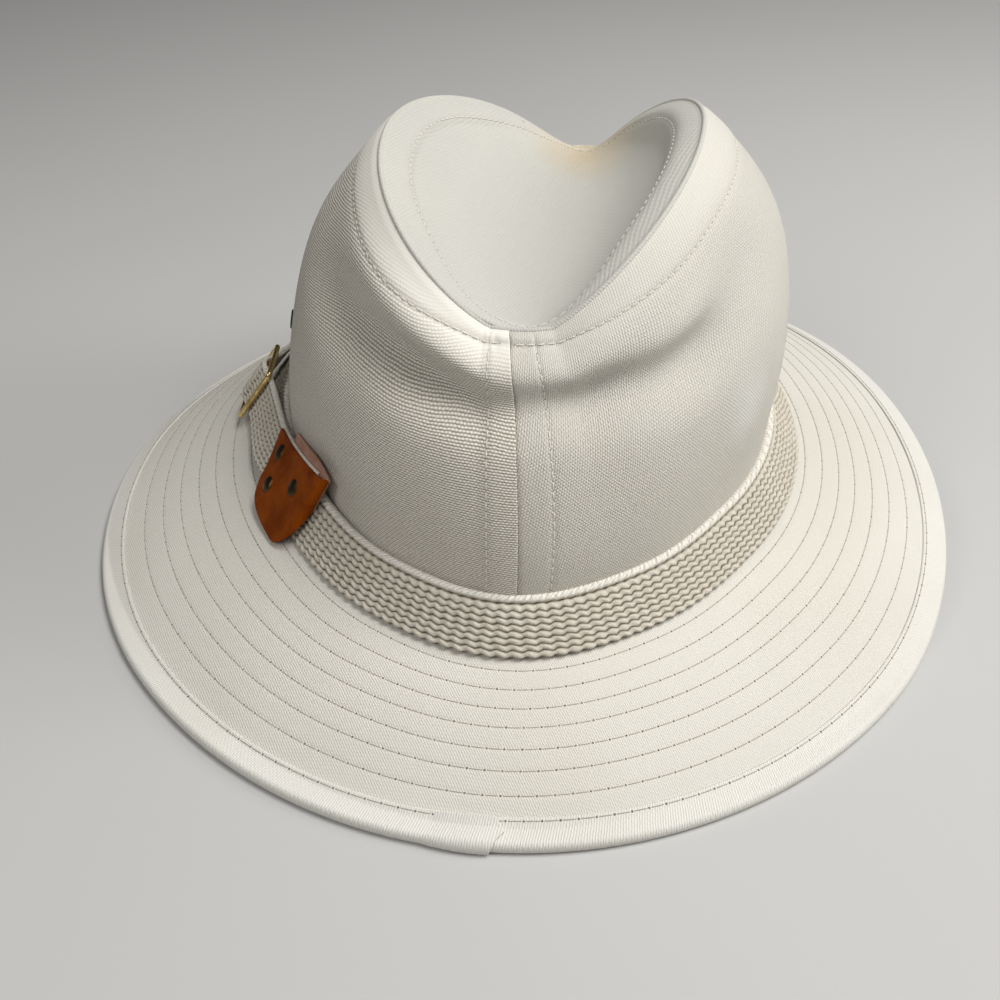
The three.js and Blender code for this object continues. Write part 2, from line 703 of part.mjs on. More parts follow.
// Top of the brim, from under the crown (share 0) to its edge inside the binding (share 1)
function brimPoint(angle, share) {
  const inner = aroundBase(angle, -BRIM.inset, -BRIM.innerDrop).applyMatrix4(headMatrix);
  const foot = aroundBase(angle, BRIM.footReach, -BRIM.footDrop).applyMatrix4(headMatrix);
  const reach = edgeColumn(angle, "reach") - TAPE - BINDING_GAP;
  const edge = vector(
    HEAD.right + reach * Math.cos(radians(angle)),
    HEAD.forward + reach * Math.sin(radians(angle)),
    edgeColumn(angle, "lift") + EDGE_REST - EDGE_PRESS);
  if (share <= BRIM.footShare) return inner.lerp(foot, share / BRIM.footShare);
  const outwards = (share - BRIM.footShare) / (1 - BRIM.footShare);
  const point = foot.lerp(edge, outwards);
  point.z = Math.max(EDGE_REST, point.z + BRIM.bow * Math.sin(Math.PI * outwards));
  return point;
}

// Way through the cloth of the brim: square to it, but straight up by its edge
function brimNormal(angle, share) {
  if (share >= EDGE_SHARE) return vector(0, 0, 1);
  const inside = Math.max(share, EPSILON);
  const round = brimPoint(angle + EPSILON, inside).sub(brimPoint(angle - EPSILON, inside));
  const outwards = brimPoint(angle, inside + EPSILON).sub(brimPoint(angle, inside - EPSILON));
  return outwards.cross(round).normalize();
}

const BRIM_SHARES = [
  ...stepsBetween(0, BRIM.footShare, BRIM.footShare / 2),
  ...stepsBetween(BRIM.footShare, EDGE_SHARE, (EDGE_SHARE - BRIM.footShare) / 4).slice(1),
  1,
];

function brimShell() {
  const layer = (depth) => BRIM_SHARES.map((share) => FULL_TURN.map((angle) => {
    const point = brimPoint(angle, share);
    return point.addScaledVector(brimNormal(angle, share), -depth);
  }));
  return wallSolid(layer(0), layer(BRIM_CLOTH), true);
}

// Bias tape folded over the edge, pressed flat where it rests on the surface
function brimBinding() {
  const under = -BRIM_CLOTH - BINDING_GAP;
  const sections = FULL_TURN.map((angle) => {
    const length = brimPoint(angle, 1).distanceTo(brimPoint(angle, BRIM.footShare));
    const legShare = 1 - (BINDING_LEG / length) * (1 - BRIM.footShare);
    const corner = (share, out, height) => {
      const outwards = vector(Math.cos(radians(angle)), Math.sin(radians(angle)), 0);
      const point = brimPoint(angle, share).addScaledVector(outwards, out);
      return point.addScaledVector(brimNormal(angle, share), height);
    };
    return [
      corner(legShare, 0, BINDING_GAP + TAPE),
      corner(EDGE_SHARE, 0, BINDING_GAP + TAPE),
      corner(1, 0, BINDING_GAP + TAPE),
      corner(1, BINDING_GAP + TAPE, -BRIM_CLOTH / 4),
      corner(1, BINDING_GAP + TAPE, -0.75 * BRIM_CLOTH),
      corner(1, 0, under - TAPE),
      corner(EDGE_SHARE, 0, under - TAPE),
      corner(legShare, 0, under - TAPE),
      corner(legShare, 0, under),
      corner(EDGE_SHARE, 0, under),
      corner(1, BINDING_GAP, under),
      corner(1, BINDING_GAP, BINDING_GAP),
      corner(EDGE_SHARE, 0, BINDING_GAP),
      corner(legShare, 0, BINDING_GAP),
    ];
  });
  return ringSolid(sections);
}

// Assembly

function piece(name, geometry, finish) {
  geometry.computeVertexNormals();
  const mesh = new THREE.Mesh(geometry, new THREE.MeshStandardMaterial(finish));
  mesh.name = name;
  return mesh;
}

const head = new THREE.Group();
head.position.set(HEAD.right, HEAD.forward, HEAD.height);
head.rotation.x = radians(HEAD.tilt);
head.add(
  piece("crown_side_right", sidePanel(SEAMS.back, SEAMS.front, GAP / 2), COTTON),
  piece("crown_side_left", sidePanel(SEAMS.front, SEAMS.back + 360, -GAP / 2), COTTON),
  piece("crown_tip", crownTip(), COTTON),
  piece("hat_band", hatBand(), WEB),
  piece("band_tail", bandTail(), WEB),
  piece("buckle", buckle(), BRASS),
  piece("leather_tab", leatherTab(), TAN_LEATHER),
);
RIVETS.forEach((row, i) => head.add(piece(`rivet_${i + 1}`, rivet(row), DARK_METAL)));
EYELETS.forEach(({ name, angle }) => head.add(piece(name, eyelet(angle), DARK_METAL)));

const hat = new THREE.Group();
hat.add(
  head,
  piece("brim", brimShell(), COTTON),
  piece("brim_binding", brimBinding(), COTTON),
);

export default hat;
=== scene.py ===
"""Looks of a safari fedora in cream cotton twill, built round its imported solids.

Shapes are worked out in millimetres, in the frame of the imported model: the front of the hat faces +Y,
the wearer's left side faces -X, and angles run counter-clockwise round the crown from +X.
"""
import logging
import math
from dataclasses import dataclass, field
from enum import Enum
from typing import Callable

import bmesh
import bpy
import numpy as np
from mathutils import Matrix, Vector
from mathutils.kdtree import KDTree


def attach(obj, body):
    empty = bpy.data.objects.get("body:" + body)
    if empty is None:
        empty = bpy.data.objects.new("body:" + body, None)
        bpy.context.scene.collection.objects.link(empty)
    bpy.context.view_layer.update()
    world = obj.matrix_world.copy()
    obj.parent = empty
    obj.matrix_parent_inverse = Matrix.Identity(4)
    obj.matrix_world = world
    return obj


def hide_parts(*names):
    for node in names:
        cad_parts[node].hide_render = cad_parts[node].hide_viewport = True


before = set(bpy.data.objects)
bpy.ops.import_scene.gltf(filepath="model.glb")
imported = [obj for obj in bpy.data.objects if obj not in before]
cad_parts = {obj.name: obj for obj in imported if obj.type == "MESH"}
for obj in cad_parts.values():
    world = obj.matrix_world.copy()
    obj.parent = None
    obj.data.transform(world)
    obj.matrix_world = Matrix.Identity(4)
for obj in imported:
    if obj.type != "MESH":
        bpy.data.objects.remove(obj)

LOG = logging.getLogger("safari_fedora")
Array = np.ndarray
Surface = Callable[[Array, Array], Array]
Colour = tuple[float, float, float]
Socket = bpy.types.NodeSocket

METRES = 0.001
STEP = 1e-3
CLOTH_UV = "Cloth"
PRESSED = "Pressed"


class Slot(Enum):
    """Material slots of the record, one named for each piece."""

    COTTON = "cotton_twill"
    WEBBING = "webbing"
    LEATHER = "tan_leather"
    BRASS = "brass"
    DARK_BRASS = "dark_brass"


# Small helpers for shapes


def mix(start: Array, end: Array, share: Array) -> Array:
    """Value between a start and an end."""
    return start + (end - start) * share


def bump(distance: Array, spread: float) -> Array:
    """A soft bump of height one at distance zero."""
    return np.exp(-((distance / spread) ** 2))


def ease(start: float, end: float, value: Array) -> Array:
    """Smooth change from zero at the start to one at the end."""
    share = np.clip((value - start) / (end - start), 0.0, 1.0)
    return share * share * (3.0 - 2.0 * share)


def unit(vectors: Array) -> Array:
    """Vectors of length one."""
    return vectors / np.maximum(np.linalg.norm(vectors, axis=-1, keepdims=True), 1e-12)


def stack(x: Array, y: Array, z: Array) -> Array:
    """Points from their three coordinates."""
    return np.stack(np.broadcast_arrays(x, y, z), axis=-1).astype(float)


def turn_between(angle: Array, centre: float) -> Array:
    """Shortest signed turn from a centre to an angle, in degrees."""
    return np.mod(angle - centre + 180.0, 360.0) - 180.0


def normals(surface: Surface, u: Array, v: Array) -> Array:
    """Unit normals of a surface.

    Args:
        surface: Points of the surface by two shares, which it also takes a little outside 0 to 1.
        u: First share of each place.
        v: Second share of each place.

    Returns:
        One normal for each place.
    """
    inside = np.clip(v, STEP, 1.0 - STEP)
    along = surface(u + STEP, inside) - surface(u - STEP, inside)
    across = surface(u, inside + STEP) - surface(u, inside - STEP)
    return unit(np.cross(along, across))


def raised(surface: Surface, relief: Callable[[Array, Array], Array]) -> Surface:
    """A surface moved along its normals by a relief in millimetres."""

    def place(u: Array, v: Array) -> Array:
        """Points of the raised surface."""
        return surface(u, v) + normals(surface, u, v) * relief(u, v)[:, None]

    return place


def soft_ripple(points: Array, size: float) -> Array:
    """Slight unevenness of soft cloth, from a few slow waves through space.

    Args:
        points: Places in millimetres.
        size: Largest height of the ripple.

    Returns:
        A height for each place.
    """
    waves = (((0.061, 0.043, 0.052), 0.4), ((-0.037, 0.082, 0.071), 1.9), ((0.098, -0.055, 0.113), 3.1))
    total = sum(np.sin(points @ np.array(vector) + phase) for vector, phase in waves)
    return size * total / len(waves)


@dataclass(frozen=True)
class Table:
    """A short table that is read smoothly between its rows.

    Attributes:
        keys: Rising places of the rows.
        values: One value for each row.
        loop: Length of a full turn after which the rows start again, or zero.
    """

    keys: tuple[float, ...]
    values: tuple[float, ...]
    loop: float = 0.0

    def at(self, place: Array) -> Array:
        """Value at each place, on a curve through the rows."""
        keys, values = np.array(self.keys, float), np.array(self.values, float)
        place = np.asarray(place, float)
        if self.loop:
            place = np.mod(place, self.loop)
            keys = np.concatenate([keys[-2:] - self.loop, keys, keys[:2] + self.loop])
            values = np.concatenate([values[-2:], values, values[:2]])
        chords = np.diff(values) / np.diff(keys)
        middle = (values[2:] - values[:-2]) / (keys[2:] - keys[:-2])
        slopes = np.concatenate([chords[:1], middle, chords[-1:]])
        row = np.clip(np.searchsorted(keys, place, side="right") - 1, 0, len(keys) - 2)
        span = keys[row + 1] - keys[row]
        t = (place - keys[row]) / span
        start = (2 * t**3 - 3 * t**2 + 1) * values[row] + (t**3 - 2 * t**2 + t) * span * slopes[row]
        end = (3 * t**2 - 2 * t**3) * values[row + 1] + (t**3 - t**2) * span * slopes[row + 1]
        return start + end


def straight(value: Array, keys: tuple[float, ...], places: tuple[float, ...]) -> Array:
    """Value read on straight lines between keys, which go on past the first and the last."""
    rise, level = np.array(keys, float), np.array(places, float)
    row = np.clip(np.searchsorted(rise, value) - 1, 0, len(rise) - 2)
    return level[row] + (value - rise[row]) * (level[row + 1] - level[row]) / (rise[row + 1] - rise[row])


@dataclass(frozen=True)
class Spacing:
    """Places of the lines of a grid, closer together where a shape is fine.

    Attributes:
        shares: Rising shares of the grid.
        places: Place of the line at each share, all rising or all falling.
    """

    shares: tuple[float, ...]
    places: tuple[float, ...]

    def at(self, share: Array) -> Array:
        """Place of each share, also a little outside the grid."""
        return straight(share, self.shares, self.places)

    def share(self, place: Array) -> Array:
        """Share of each place."""
        order = 1 if self.places[-1] > self.places[0] else -1
        return straight(place, self.places[::order], self.shares[::order])


@dataclass(frozen=True)
class Dent:
    """A shallow dent in the side of the crown, or a bulge where its depth is negative: its place and spreads."""

    angle: float
    share: float
    depth: float
    spread: float
    tall: float


# Shapes of the hat


@dataclass(frozen=True)
class HatShape:
    """Outside shape of the crown, in its own tilted frame, and of the brim, in the frame of the hat."""

    head: tuple[float, float, float] = (0.8, 9.9, 37.4)
    tilt: float = 1.9
    base: Table = Table(
        (0, 45, 90, 135, 180, 205, 225, 250, 270, 290, 315),
        (85, 90.5, 101, 91.5, 83.5, 83.5, 88, 100, 107.5, 101, 91), 360)
    drop: float = 4.6
    straight: float = 5.0
    rim_left: float = 53.0
    rim_right: float = 44.0
    rim_front: float = 68.0
    rim_back: float = 77.0
    rim_side_height: float = 98.5
    rim_back_height: float = 71.0
    rim_front_height: float = 63.5
    rim_rise: float = 1.1
    rim_front_rise: float = 0.83
    blunt_end: float = 10.0
    back_seam: float = -95.0
    front_seam: float = 90.0
    seam_turn: float = 5.0
    seam_spread: float = 30.0
    lean_right: float = 10.6
    lean_forward: float = 4.0
    lean_twist: float = 9.0
    shoulder_left: float = 3.1
    shoulder_right: float = 3.6
    shoulder_ends: float = 2.1
    dents: tuple[Dent, ...] = (
        Dent(-116, 0.715, 8.5, 19, 0.09),
        Dent(-138, 0.66, 5.0, 14, 0.09),
        Dent(-76, 0.725, 6.5, 14, 0.085),
        Dent(-53, 0.64, 6.5, 15, 0.09),
        Dent(-32, 0.74, 3.4, 16, 0.12),
        Dent(118, 0.76, 3.5, 20, 0.11),
        Dent(62, 0.76, 3.5, 20, 0.11),
        Dent(227, 0.1, 2.2, 13, 0.11),
        Dent(-119, 0.875, -4.8, 25, 0.075),
        Dent(-78, 0.875, -3.0, 16, 0.075),
        Dent(-54, 0.8, -3.4, 16, 0.08),
        Dent(118, 0.91, -3.6, 22, 0.075),
        Dent(62, 0.91, -3.6, 22, 0.075),
    )
    dent_end: float = 14.0
    crease_back: float = 70.5
    crease_middle: float = 64.5
    crease_front: float = 63.0
    crease_place: float = 0.58
    crease_roundness: float = 1.3
    crease_fade: float = 6.0
    brim_inset: float = 3.0
    brim_inner_drop: float = 4.9
    foot_reach: float = 13.6
    foot_drop: float = 10.7
    foot_share: float = 0.22
    brim_bow: float = 2.2
    edge_reach: Table = Table(
        (0, 45, 90, 135, 180, 225, 270, 315),
        (148.2, 148.2, 148.6, 142.0, 149.4, 159.5, 168.4, 159.5), 360)
    edge_lift: Table = Table(
        (0, 45, 90, 135, 180, 225, 270, 315),
        (13.7, 14.7, 0.8, 0.0, 3.8, 0.0, 0.4, 1.4), 360)
    brim_cloth: float = 1.9
    tape: float = 1.0
    tape_gap: float = 0.45
    edge_press: float = 2.8

    def to_hat(self, points: Array) -> Array:
        """Points of the crown's frame in the frame of the hat."""
        c, s = math.cos(math.radians(self.tilt)), math.sin(math.radians(self.tilt))
        x, y, z = points[..., 0], points[..., 1], points[..., 2]
        return stack(x, c * y - s * z, s * y + c * z) + np.array(self.head)

    def base_oval(self, angle: Array) -> Array:
        """Outside of the crown at the band."""
        reach, turn = self.base.at(angle), np.radians(angle)
        return stack(reach * np.cos(turn), reach * np.sin(turn), 0.0)

    def base_tangent(self, angle: Array) -> Array:
        """Direction round the base outline."""
        return unit(self.base_oval(angle + STEP) - self.base_oval(angle - STEP))

    def around_base(self, angle: Array, outwards: Array, height: Array) -> Array:
        """The base outline moved outwards by a distance, at a height."""
        along = self.base_tangent(angle)
        point = self.base_oval(angle) + stack(along[..., 1], -along[..., 0], 0.0) * np.asarray(outwards)[..., None]
        return stack(point[..., 0], point[..., 1], height)

    def round_length(self, angle: Array) -> Array:
        """Length along the base outline from angle zero, in millimetres."""
        places = np.arange(-360.0, 721.0, 1.0)
        steps = np.linalg.norm(np.diff(self.base_oval(places), axis=0), axis=1)
        lengths = np.concatenate([[0.0], np.cumsum(steps)])
        return np.interp(angle, places, lengths - np.interp(0.0, places, lengths))

    def rim_plan(self, angle: Array) -> Array:
        """Plan of the rim seam before the crown leans."""
        c, s = np.cos(np.radians(angle)), np.sin(np.radians(angle))
        across = np.where(c < 0, self.rim_left, self.rim_right)
        along = np.where(s < 0, self.rim_back, self.rim_front)
        return stack(across * c, along * s, 0.0)

    def rim_height(self, angle: Array) -> Array:
        """Height of the rim seam, lowest at the two blunt ends of the crease."""
        c, s = np.cos(np.radians(angle)), np.sin(np.radians(angle))
        blunt = math.sin(math.radians(self.blunt_end))
        rise = np.where(s > 0, self.rim_front_rise, self.rim_rise)
        climb = np.maximum(0.0, (np.abs(c) - blunt) / (1.0 - blunt)) ** rise
        return mix(np.where(s > 0, self.rim_front_height, self.rim_back_height), self.rim_side_height, climb)

    def lean_at(self, angle: Array) -> Array:
        """How far the rim leans from the base."""
        return stack(self.lean_right + self.lean_twist * np.sin(np.radians(angle)), self.lean_forward, 0.0)

    def rim_point(self, angle: Array) -> Array:
        """A place on the rim seam."""
        point = self.rim_plan(angle) + self.lean_at(angle)
        return stack(point[..., 0], point[..., 1], self.rim_height(angle))

    def wall(self, angle: Array, share: Array) -> Array:
        """Outside of a side panel, from its lower edge (share 0) to the rim seam (share 1)."""
        angle, share = np.broadcast_arrays(np.asarray(angle, float), np.asarray(share, float))
        height = self.rim_height(angle)
        z = mix(-self.drop, height, share)
        rise = np.maximum(0.0, z - self.straight) / (height - self.straight)
        sideways = np.cos(np.radians(angle))
        side = np.where(sideways < 0, self.shoulder_left, self.shoulder_right)
        power = mix(self.shoulder_ends, side, sideways**2)
        turn = self.seam_turn * bump(turn_between(angle, self.back_seam), self.seam_spread)
        point = mix(self.base_oval(angle + turn), self.rim_plan(angle), (rise**power)[..., None])
        point = point + self.lean_at(angle) * rise[..., None]
        held = 1.0 - rise**self.dent_end
        for dent in self.dents:
            beside = bump(turn_between(angle, dent.angle), dent.spread)
            size = dent.depth * beside * bump(rise - dent.share, dent.tall)
            flat = point * np.array((1.0, 1.0, 0.0))
            point = point - unit(flat) * (size * held)[..., None]
        return stack(point[..., 0], point[..., 1], z)

    def wall_length(self, angle: Array) -> Array:
        """Length up a side panel, in millimetres."""
        shares = np.linspace(0.0, 1.0, 41)
        points = self.wall(np.asarray(angle)[..., None], shares)
        return np.linalg.norm(np.diff(points, axis=-2), axis=-1).sum(axis=-1)

    def tip_angle(self, station: Array, left: bool) -> Array:
        """Rim angle at a side of the tip, from the back end (station 0) to the front end (station 1)."""
        turn = mix(-90.0 + self.blunt_end, 90.0 - self.blunt_end, station)
        return 180.0 - turn if left else turn

    def crease_floor(self, station: Array) -> Array:
        """Height of the floor of the centre crease."""
        sag = self.crease_middle - (self.crease_back + self.crease_front) / 2.0
        return mix(self.crease_back, self.crease_front, station) + 4.0 * station * (1.0 - station) * sag

    def tip(self, across: Array, station: Array) -> Array:
        """Outside of the tip, from its left rim (across 0) to its right rim (across 1)."""
        across, station = np.broadcast_arrays(np.asarray(across, float), np.asarray(station, float))
        left = self.rim_point(self.tip_angle(station, True))
        right = self.rim_point(self.tip_angle(station, False))
        point = mix(left, right, across[..., None])
        near = 0.5 * across / self.crease_place
        far = 1.0 - 0.5 * (1.0 - across) / (1.0 - self.crease_place)
        fold = np.where(across < self.crease_place, near, far)
        hollow = np.maximum(0.0, 1.0 - (2.0 * fold - 1.0) ** 2) ** self.crease_roundness
        sink = ((left[..., 2] + right[..., 2]) / 2.0 - self.crease_floor(station)) * hollow
        point = point - stack(0.0, 0.0, sink)
        for end, side in ((0.0, -1.0), (1.0, 1.0)):
            fade = np.maximum(0.0, 1.0 - np.abs(station - end)) ** self.crease_fade
            rim = self.rim_point(side * mix(90.0 + self.blunt_end, 90.0 - self.blunt_end, across))
            corners = [self.rim_point(self.tip_angle(np.full_like(station, end), left)) for left in (True, False)]
            point = point + (rim - mix(corners[0], corners[1], across[..., None])) * fade[..., None]
        return point

    def brim(self, angle: Array, share: Array) -> Array:
        """Top of the brim in the frame of the hat, from under the crown (share 0) to its edge (share 1)."""
        angle, share = np.broadcast_arrays(np.asarray(angle, float), np.asarray(share, float))
        rest = self.tape + self.tape_gap + self.brim_cloth
        inner = self.to_hat(self.around_base(angle, np.full_like(angle, -self.brim_inset), -self.brim_inner_drop))
        foot = self.to_hat(self.around_base(angle, np.full_like(angle, self.foot_reach), -self.foot_drop))
        reach = self.edge_reach.at(angle) - self.tape - self.tape_gap
        turn = np.radians(angle)
        edge = stack(
            self.head[0] + reach * np.cos(turn), self.head[1] + reach * np.sin(turn),
            self.edge_lift.at(angle) + rest - self.edge_press)
        outwards = (share - self.foot_share) / (1.0 - self.foot_share)
        near = mix(inner, foot, (share / self.foot_share)[..., None])
        far = mix(foot, edge, outwards[..., None])
        bowed = np.maximum(rest, far[..., 2] + self.brim_bow * np.sin(np.pi * np.clip(outwards, 0.0, 1.0)))
        far = stack(far[..., 0], far[..., 1], bowed)
        return np.where((share <= self.foot_share)[..., None], near, far)

    def trim_axes(self, angle: Array, lean: Array) -> tuple[Array, Array, Array]:
        """Axes on the outside of the band at an angle.

        Args:
            angle: Place round the base outline, in degrees.
            lean: How far the axes lean out from upright, in degrees.

        Returns:
            Directions along the band towards the back, across it downwards, and standing off it.
        """
        tangent = self.base_tangent(angle)
        lean = np.radians(lean)
        outwards = stack(tangent[..., 1], -tangent[..., 0], 0.0)
        up = np.array((0.0, 0.0, 1.0))
        across = outwards * np.sin(lean)[..., None] - up * np.cos(lean)[..., None]
        stand = outwards * np.cos(lean)[..., None] + up * np.sin(lean)[..., None]
        return tangent, across, stand


# Building meshes


def grid_mesh(
    columns: int, rows: int, place: Surface, cloth: Surface | None = None, pressed: Surface | None = None,
    weld: bool = False,
) -> bmesh.types.BMesh:
    """A grid whose points are moved on to a surface.

    Args:
        columns: Faces along the first share.
        rows: Faces along the second share.
        place: Points of the surface in millimetres.
        cloth: Flat places on the cloth in millimetres, for the weave.
        pressed: How far the weave is pressed smooth at each place, from 0 to 1.
        weld: Whether edges that meet are joined.

    Returns:
        The mesh, in metres.
    """
    mesh = bmesh.new()
    bmesh.ops.create_grid(mesh, x_segments=columns, y_segments=rows, size=1.0)
    mesh.verts.index_update()
    shares = np.array([vert.co[:2] for vert in mesh.verts]) * 0.5 + 0.5
    u, v = shares[:, 0], shares[:, 1]
    if cloth is not None:
        layer = mesh.loops.layers.uv.new(CLOTH_UV)
        flat = cloth(u, v)
        for face in mesh.faces:
            for loop in face.loops:
                loop[layer].uv = flat[loop.vert.index]
    if pressed is not None:
        mark = mesh.verts.layers.float.new(PRESSED)
        for vert, share in zip(mesh.verts, pressed(u, v)):
            vert[mark] = share
    for vert, point in zip(mesh.verts, place(u, v) * METRES):
        vert.co = point
    if weld:
        bmesh.ops.remove_doubles(mesh, verts=mesh.verts, dist=1e-6)
    return mesh


def turned_mesh(
    profile: tuple[tuple[float, float], ...], sides: int, place: Array, direction: Array,
) -> bmesh.types.BMesh:
    """A turned shape from its half profile.

    Args:
        profile: Radius and height of each point, in millimetres.
        sides: Faces round the axis.
        place: Where the axis stands, in millimetres.
        direction: Way up along the axis.

    Returns:
        The closed mesh, in metres.
    """
    mesh = bmesh.new()
    verts = [mesh.verts.new((radius * METRES, 0.0, height * METRES)) for radius, height in profile]
    edges = [mesh.edges.new(pair) for pair in zip(verts, verts[1:])]
    bmesh.ops.spin(
        mesh, geom=verts + edges, cent=(0, 0, 0), axis=(0, 0, 1), dvec=(0, 0, 0), angle=math.tau, steps=sides,
        use_merge=True, use_normal_flip=False, use_duplicate=False)
    bmesh.ops.remove_doubles(mesh, verts=mesh.verts, dist=1e-7)
    bmesh.ops.recalc_face_normals(mesh, faces=mesh.faces)
    turn = Vector((0, 0, 1)).rotation_difference(Vector(direction)).to_matrix().to_4x4()
    bmesh.ops.transform(mesh, matrix=Matrix.Translation(Vector(place * METRES)) @ turn, verts=mesh.verts)
    return mesh


def make_piece(
    name: str, mesh: bmesh.types.BMesh, finish: bpy.types.Material, slot: Slot, nodes: tuple[str, ...] = (),
) -> bpy.types.Object:
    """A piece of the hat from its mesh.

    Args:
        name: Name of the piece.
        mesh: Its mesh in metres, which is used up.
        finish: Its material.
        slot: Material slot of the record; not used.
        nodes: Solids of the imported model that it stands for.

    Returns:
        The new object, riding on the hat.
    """
    data = bpy.data.meshes.new(name)
    mesh.to_mesh(data)
    mesh.free()
    data.shade_smooth()
    data.materials.append(finish)
    piece = bpy.data.objects.new(name, data)
    bpy.context.scene.collection.objects.link(piece)
    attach(piece, "root")
    if nodes:
        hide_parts(*nodes)
    LOG.info("built %s with %d faces", name, len(data.polygons))
    return piece


def thicken(
    piece: bpy.types.Object, thickness: float, offset: float = -1.0, share: Array | None = None,
) -> None:
    """Gives a sheet its thickness.

    Args:
        piece: The sheet.
        thickness: Its thickness in millimetres.
        offset: Side that the thickness is added on, inwards unless it says otherwise.
        share: Share of the thickness at each point, if it is not the same all over.
    """
    modifier = piece.modifiers.new("thickness", "SOLIDIFY")
    modifier.thickness = thickness * METRES
    modifier.offset = offset
    if share is not None:
        group = piece.vertex_groups.new(name="thickness")
        for number, weight in enumerate(share):
            group.add([number], float(weight), "REPLACE")
        modifier.vertex_group = group.name


def declare_sheet(piece: bpy.types.Object) -> None:
    """Logs the size and area of the flat cut of a piece of sewn cloth."""
    layer = piece.data.uv_layers[CLOTH_UV].uv
    flat = np.array([spot.vector for spot in layer]) * METRES
    corners = flat[[list(face.loop_indices) for face in piece.data.polygons]]
    first, second = corners[:, 2] - corners[:, 0], corners[:, 3] - corners[:, 1]
    area = float(np.abs(first[:, 0] * second[:, 1] - first[:, 1] * second[:, 0]).sum() / 2.0)
    size = np.ptp(flat, axis=0)
    LOG.info("%s is cut from %.3f x %.3f m, %.4f square metres", piece.name, size[0], size[1], area)


def round_edges(piece: bpy.types.Object, width: float, segments: int) -> None:
    """Rounds the sharp edges of a piece, by a width in millimetres."""
    modifier = piece.modifiers.new("edges", "BEVEL")
    modifier.width = width * METRES
    modifier.segments = segments
    modifier.limit_method = "ANGLE"
    modifier.angle_limit = math.radians(40)


# Stitching


@dataclass
class StitchRow:
    """One row of lockstitch on a surface.

    Attributes:
        path: Close points along the row, in millimetres.
        out: Direction off the cloth at each point.
        length: Length of one stitch.
        closed: Whether the row meets itself.
    """

    path: Array
    out: Array
    length: float
    closed: bool = False

    def measured(self) -> tuple[Array, float]:
        """Distance of each point along the row, and the whole length."""
        steps = np.linalg.norm(np.diff(self.path, axis=0), axis=1)
        lengths = np.concatenate([[0.0], np.cumsum(steps)])
        return lengths, float(lengths[-1])

    def count(self) -> int:
        """Number of whole stitches in the row."""
        return max(2, round(self.measured()[1] / self.length))

    def at(self, share: Array) -> tuple[Array, Array, Array]:
        """Place, direction off the cloth and direction along the row, at shares of its length."""
        lengths, total = self.measured()

        def read(columns: Array, place: Array) -> Array:
            """Values between the points of the row."""
            return np.stack([np.interp(place, lengths, columns[:, axis]) for axis in range(3)], axis=-1)

        place = np.asarray(share) * total
        step = total * 0.002
        along = read(self.path, place + step) - read(self.path, place - step)
        if self.closed:
            ends = self.path[1] - self.path[-2]
            along = np.where(((place < step) | (place > total - step))[:, None], ends, along)
        return read(self.path, place), unit(read(self.out, place)), unit(along)


def stitch_row(surface: Surface, u: Array, v: Array, length: float, closed: bool = False) -> StitchRow:
    """A row of stitches of one length along places on a surface."""
    return StitchRow(surface(u, v), normals(surface, u, v), length, closed)


@dataclass
class Stitching:
    """Rows of stitches on one part of the hat, with their needle holes."""

    name: str
    thread: bpy.types.Material
    hole: bpy.types.Material
    radius: float
    hole_radius: float
    rise: float = 0.1
    dip: float = 0.7
    dip_spread: float = 0.42
    hole_taper: float = 0.6
    hole_stand: float = 0.12
    steps: int = 7
    sides: int = 5
    rows: list[StitchRow] = field(default_factory=list)

    def thread_mesh(self, row: StitchRow) -> bmesh.types.BMesh:
        """The thread of one row, which dips into the cloth at each needle hole."""
        count = row.count()

        def place(u: Array, v: Array) -> Array:
            """Points on the skin of the thread."""
            centre, out, along = row.at(u)
            side = unit(np.cross(out, along))
            from_hole = np.abs(u * count - np.round(u * count)) * row.measured()[1] / count
            height = self.rise - self.dip * bump(from_hole, self.dip_spread)
            turn = v * math.tau
            ring = out * (np.cos(turn) * self.radius + height)[:, None] + side * (np.sin(turn) * self.radius)[:, None]
            return centre + ring

        return grid_mesh(count * self.steps, self.sides, place, weld=True)

    def add_holes(self, mesh: bmesh.types.BMesh, row: StitchRow) -> None:
        """Low dark spots at the needle holes of one row: painted shade inside each hole."""
        count = row.count()
        shares = np.linspace(0.0, 1.0, count + 1)[: count if row.closed else count + 1]
        for place, out, along in zip(*row.at(shares)):
            side = np.cross(out, along)
            turn = Matrix(np.stack([along, side, out], axis=1).tolist()).to_4x4()
            at = Matrix.Translation(Vector(place * METRES)) @ turn
            bmesh.ops.create_cone(
                mesh, cap_ends=True, segments=6, radius1=self.hole_radius * METRES,
                radius2=self.hole_radius * self.hole_taper * METRES, depth=2 * self.hole_stand * METRES, matrix=at)

    def build(self) -> None:
        """Makes the thread and the needle holes of all the rows."""
        threads, holes = bmesh.new(), bmesh.new()
        for row in self.rows:
            one = self.thread_mesh(row)
            data = bpy.data.meshes.new("row")
            one.to_mesh(data)
            one.free()
            threads.from_mesh(data)
            bpy.data.meshes.remove(data)
            self.add_holes(holes, row)
        bmesh.ops.holes_fill(threads, edges=threads.edges, sides=self.sides + 1)
        bmesh.ops.recalc_face_normals(threads, faces=threads.faces)
        make_piece(f"{self.name}_thread", threads, self.thread, Slot.COTTON)
        make_piece(f"{self.name}_needle_holes", holes, self.hole, Slot.COTTON)


# Finishes


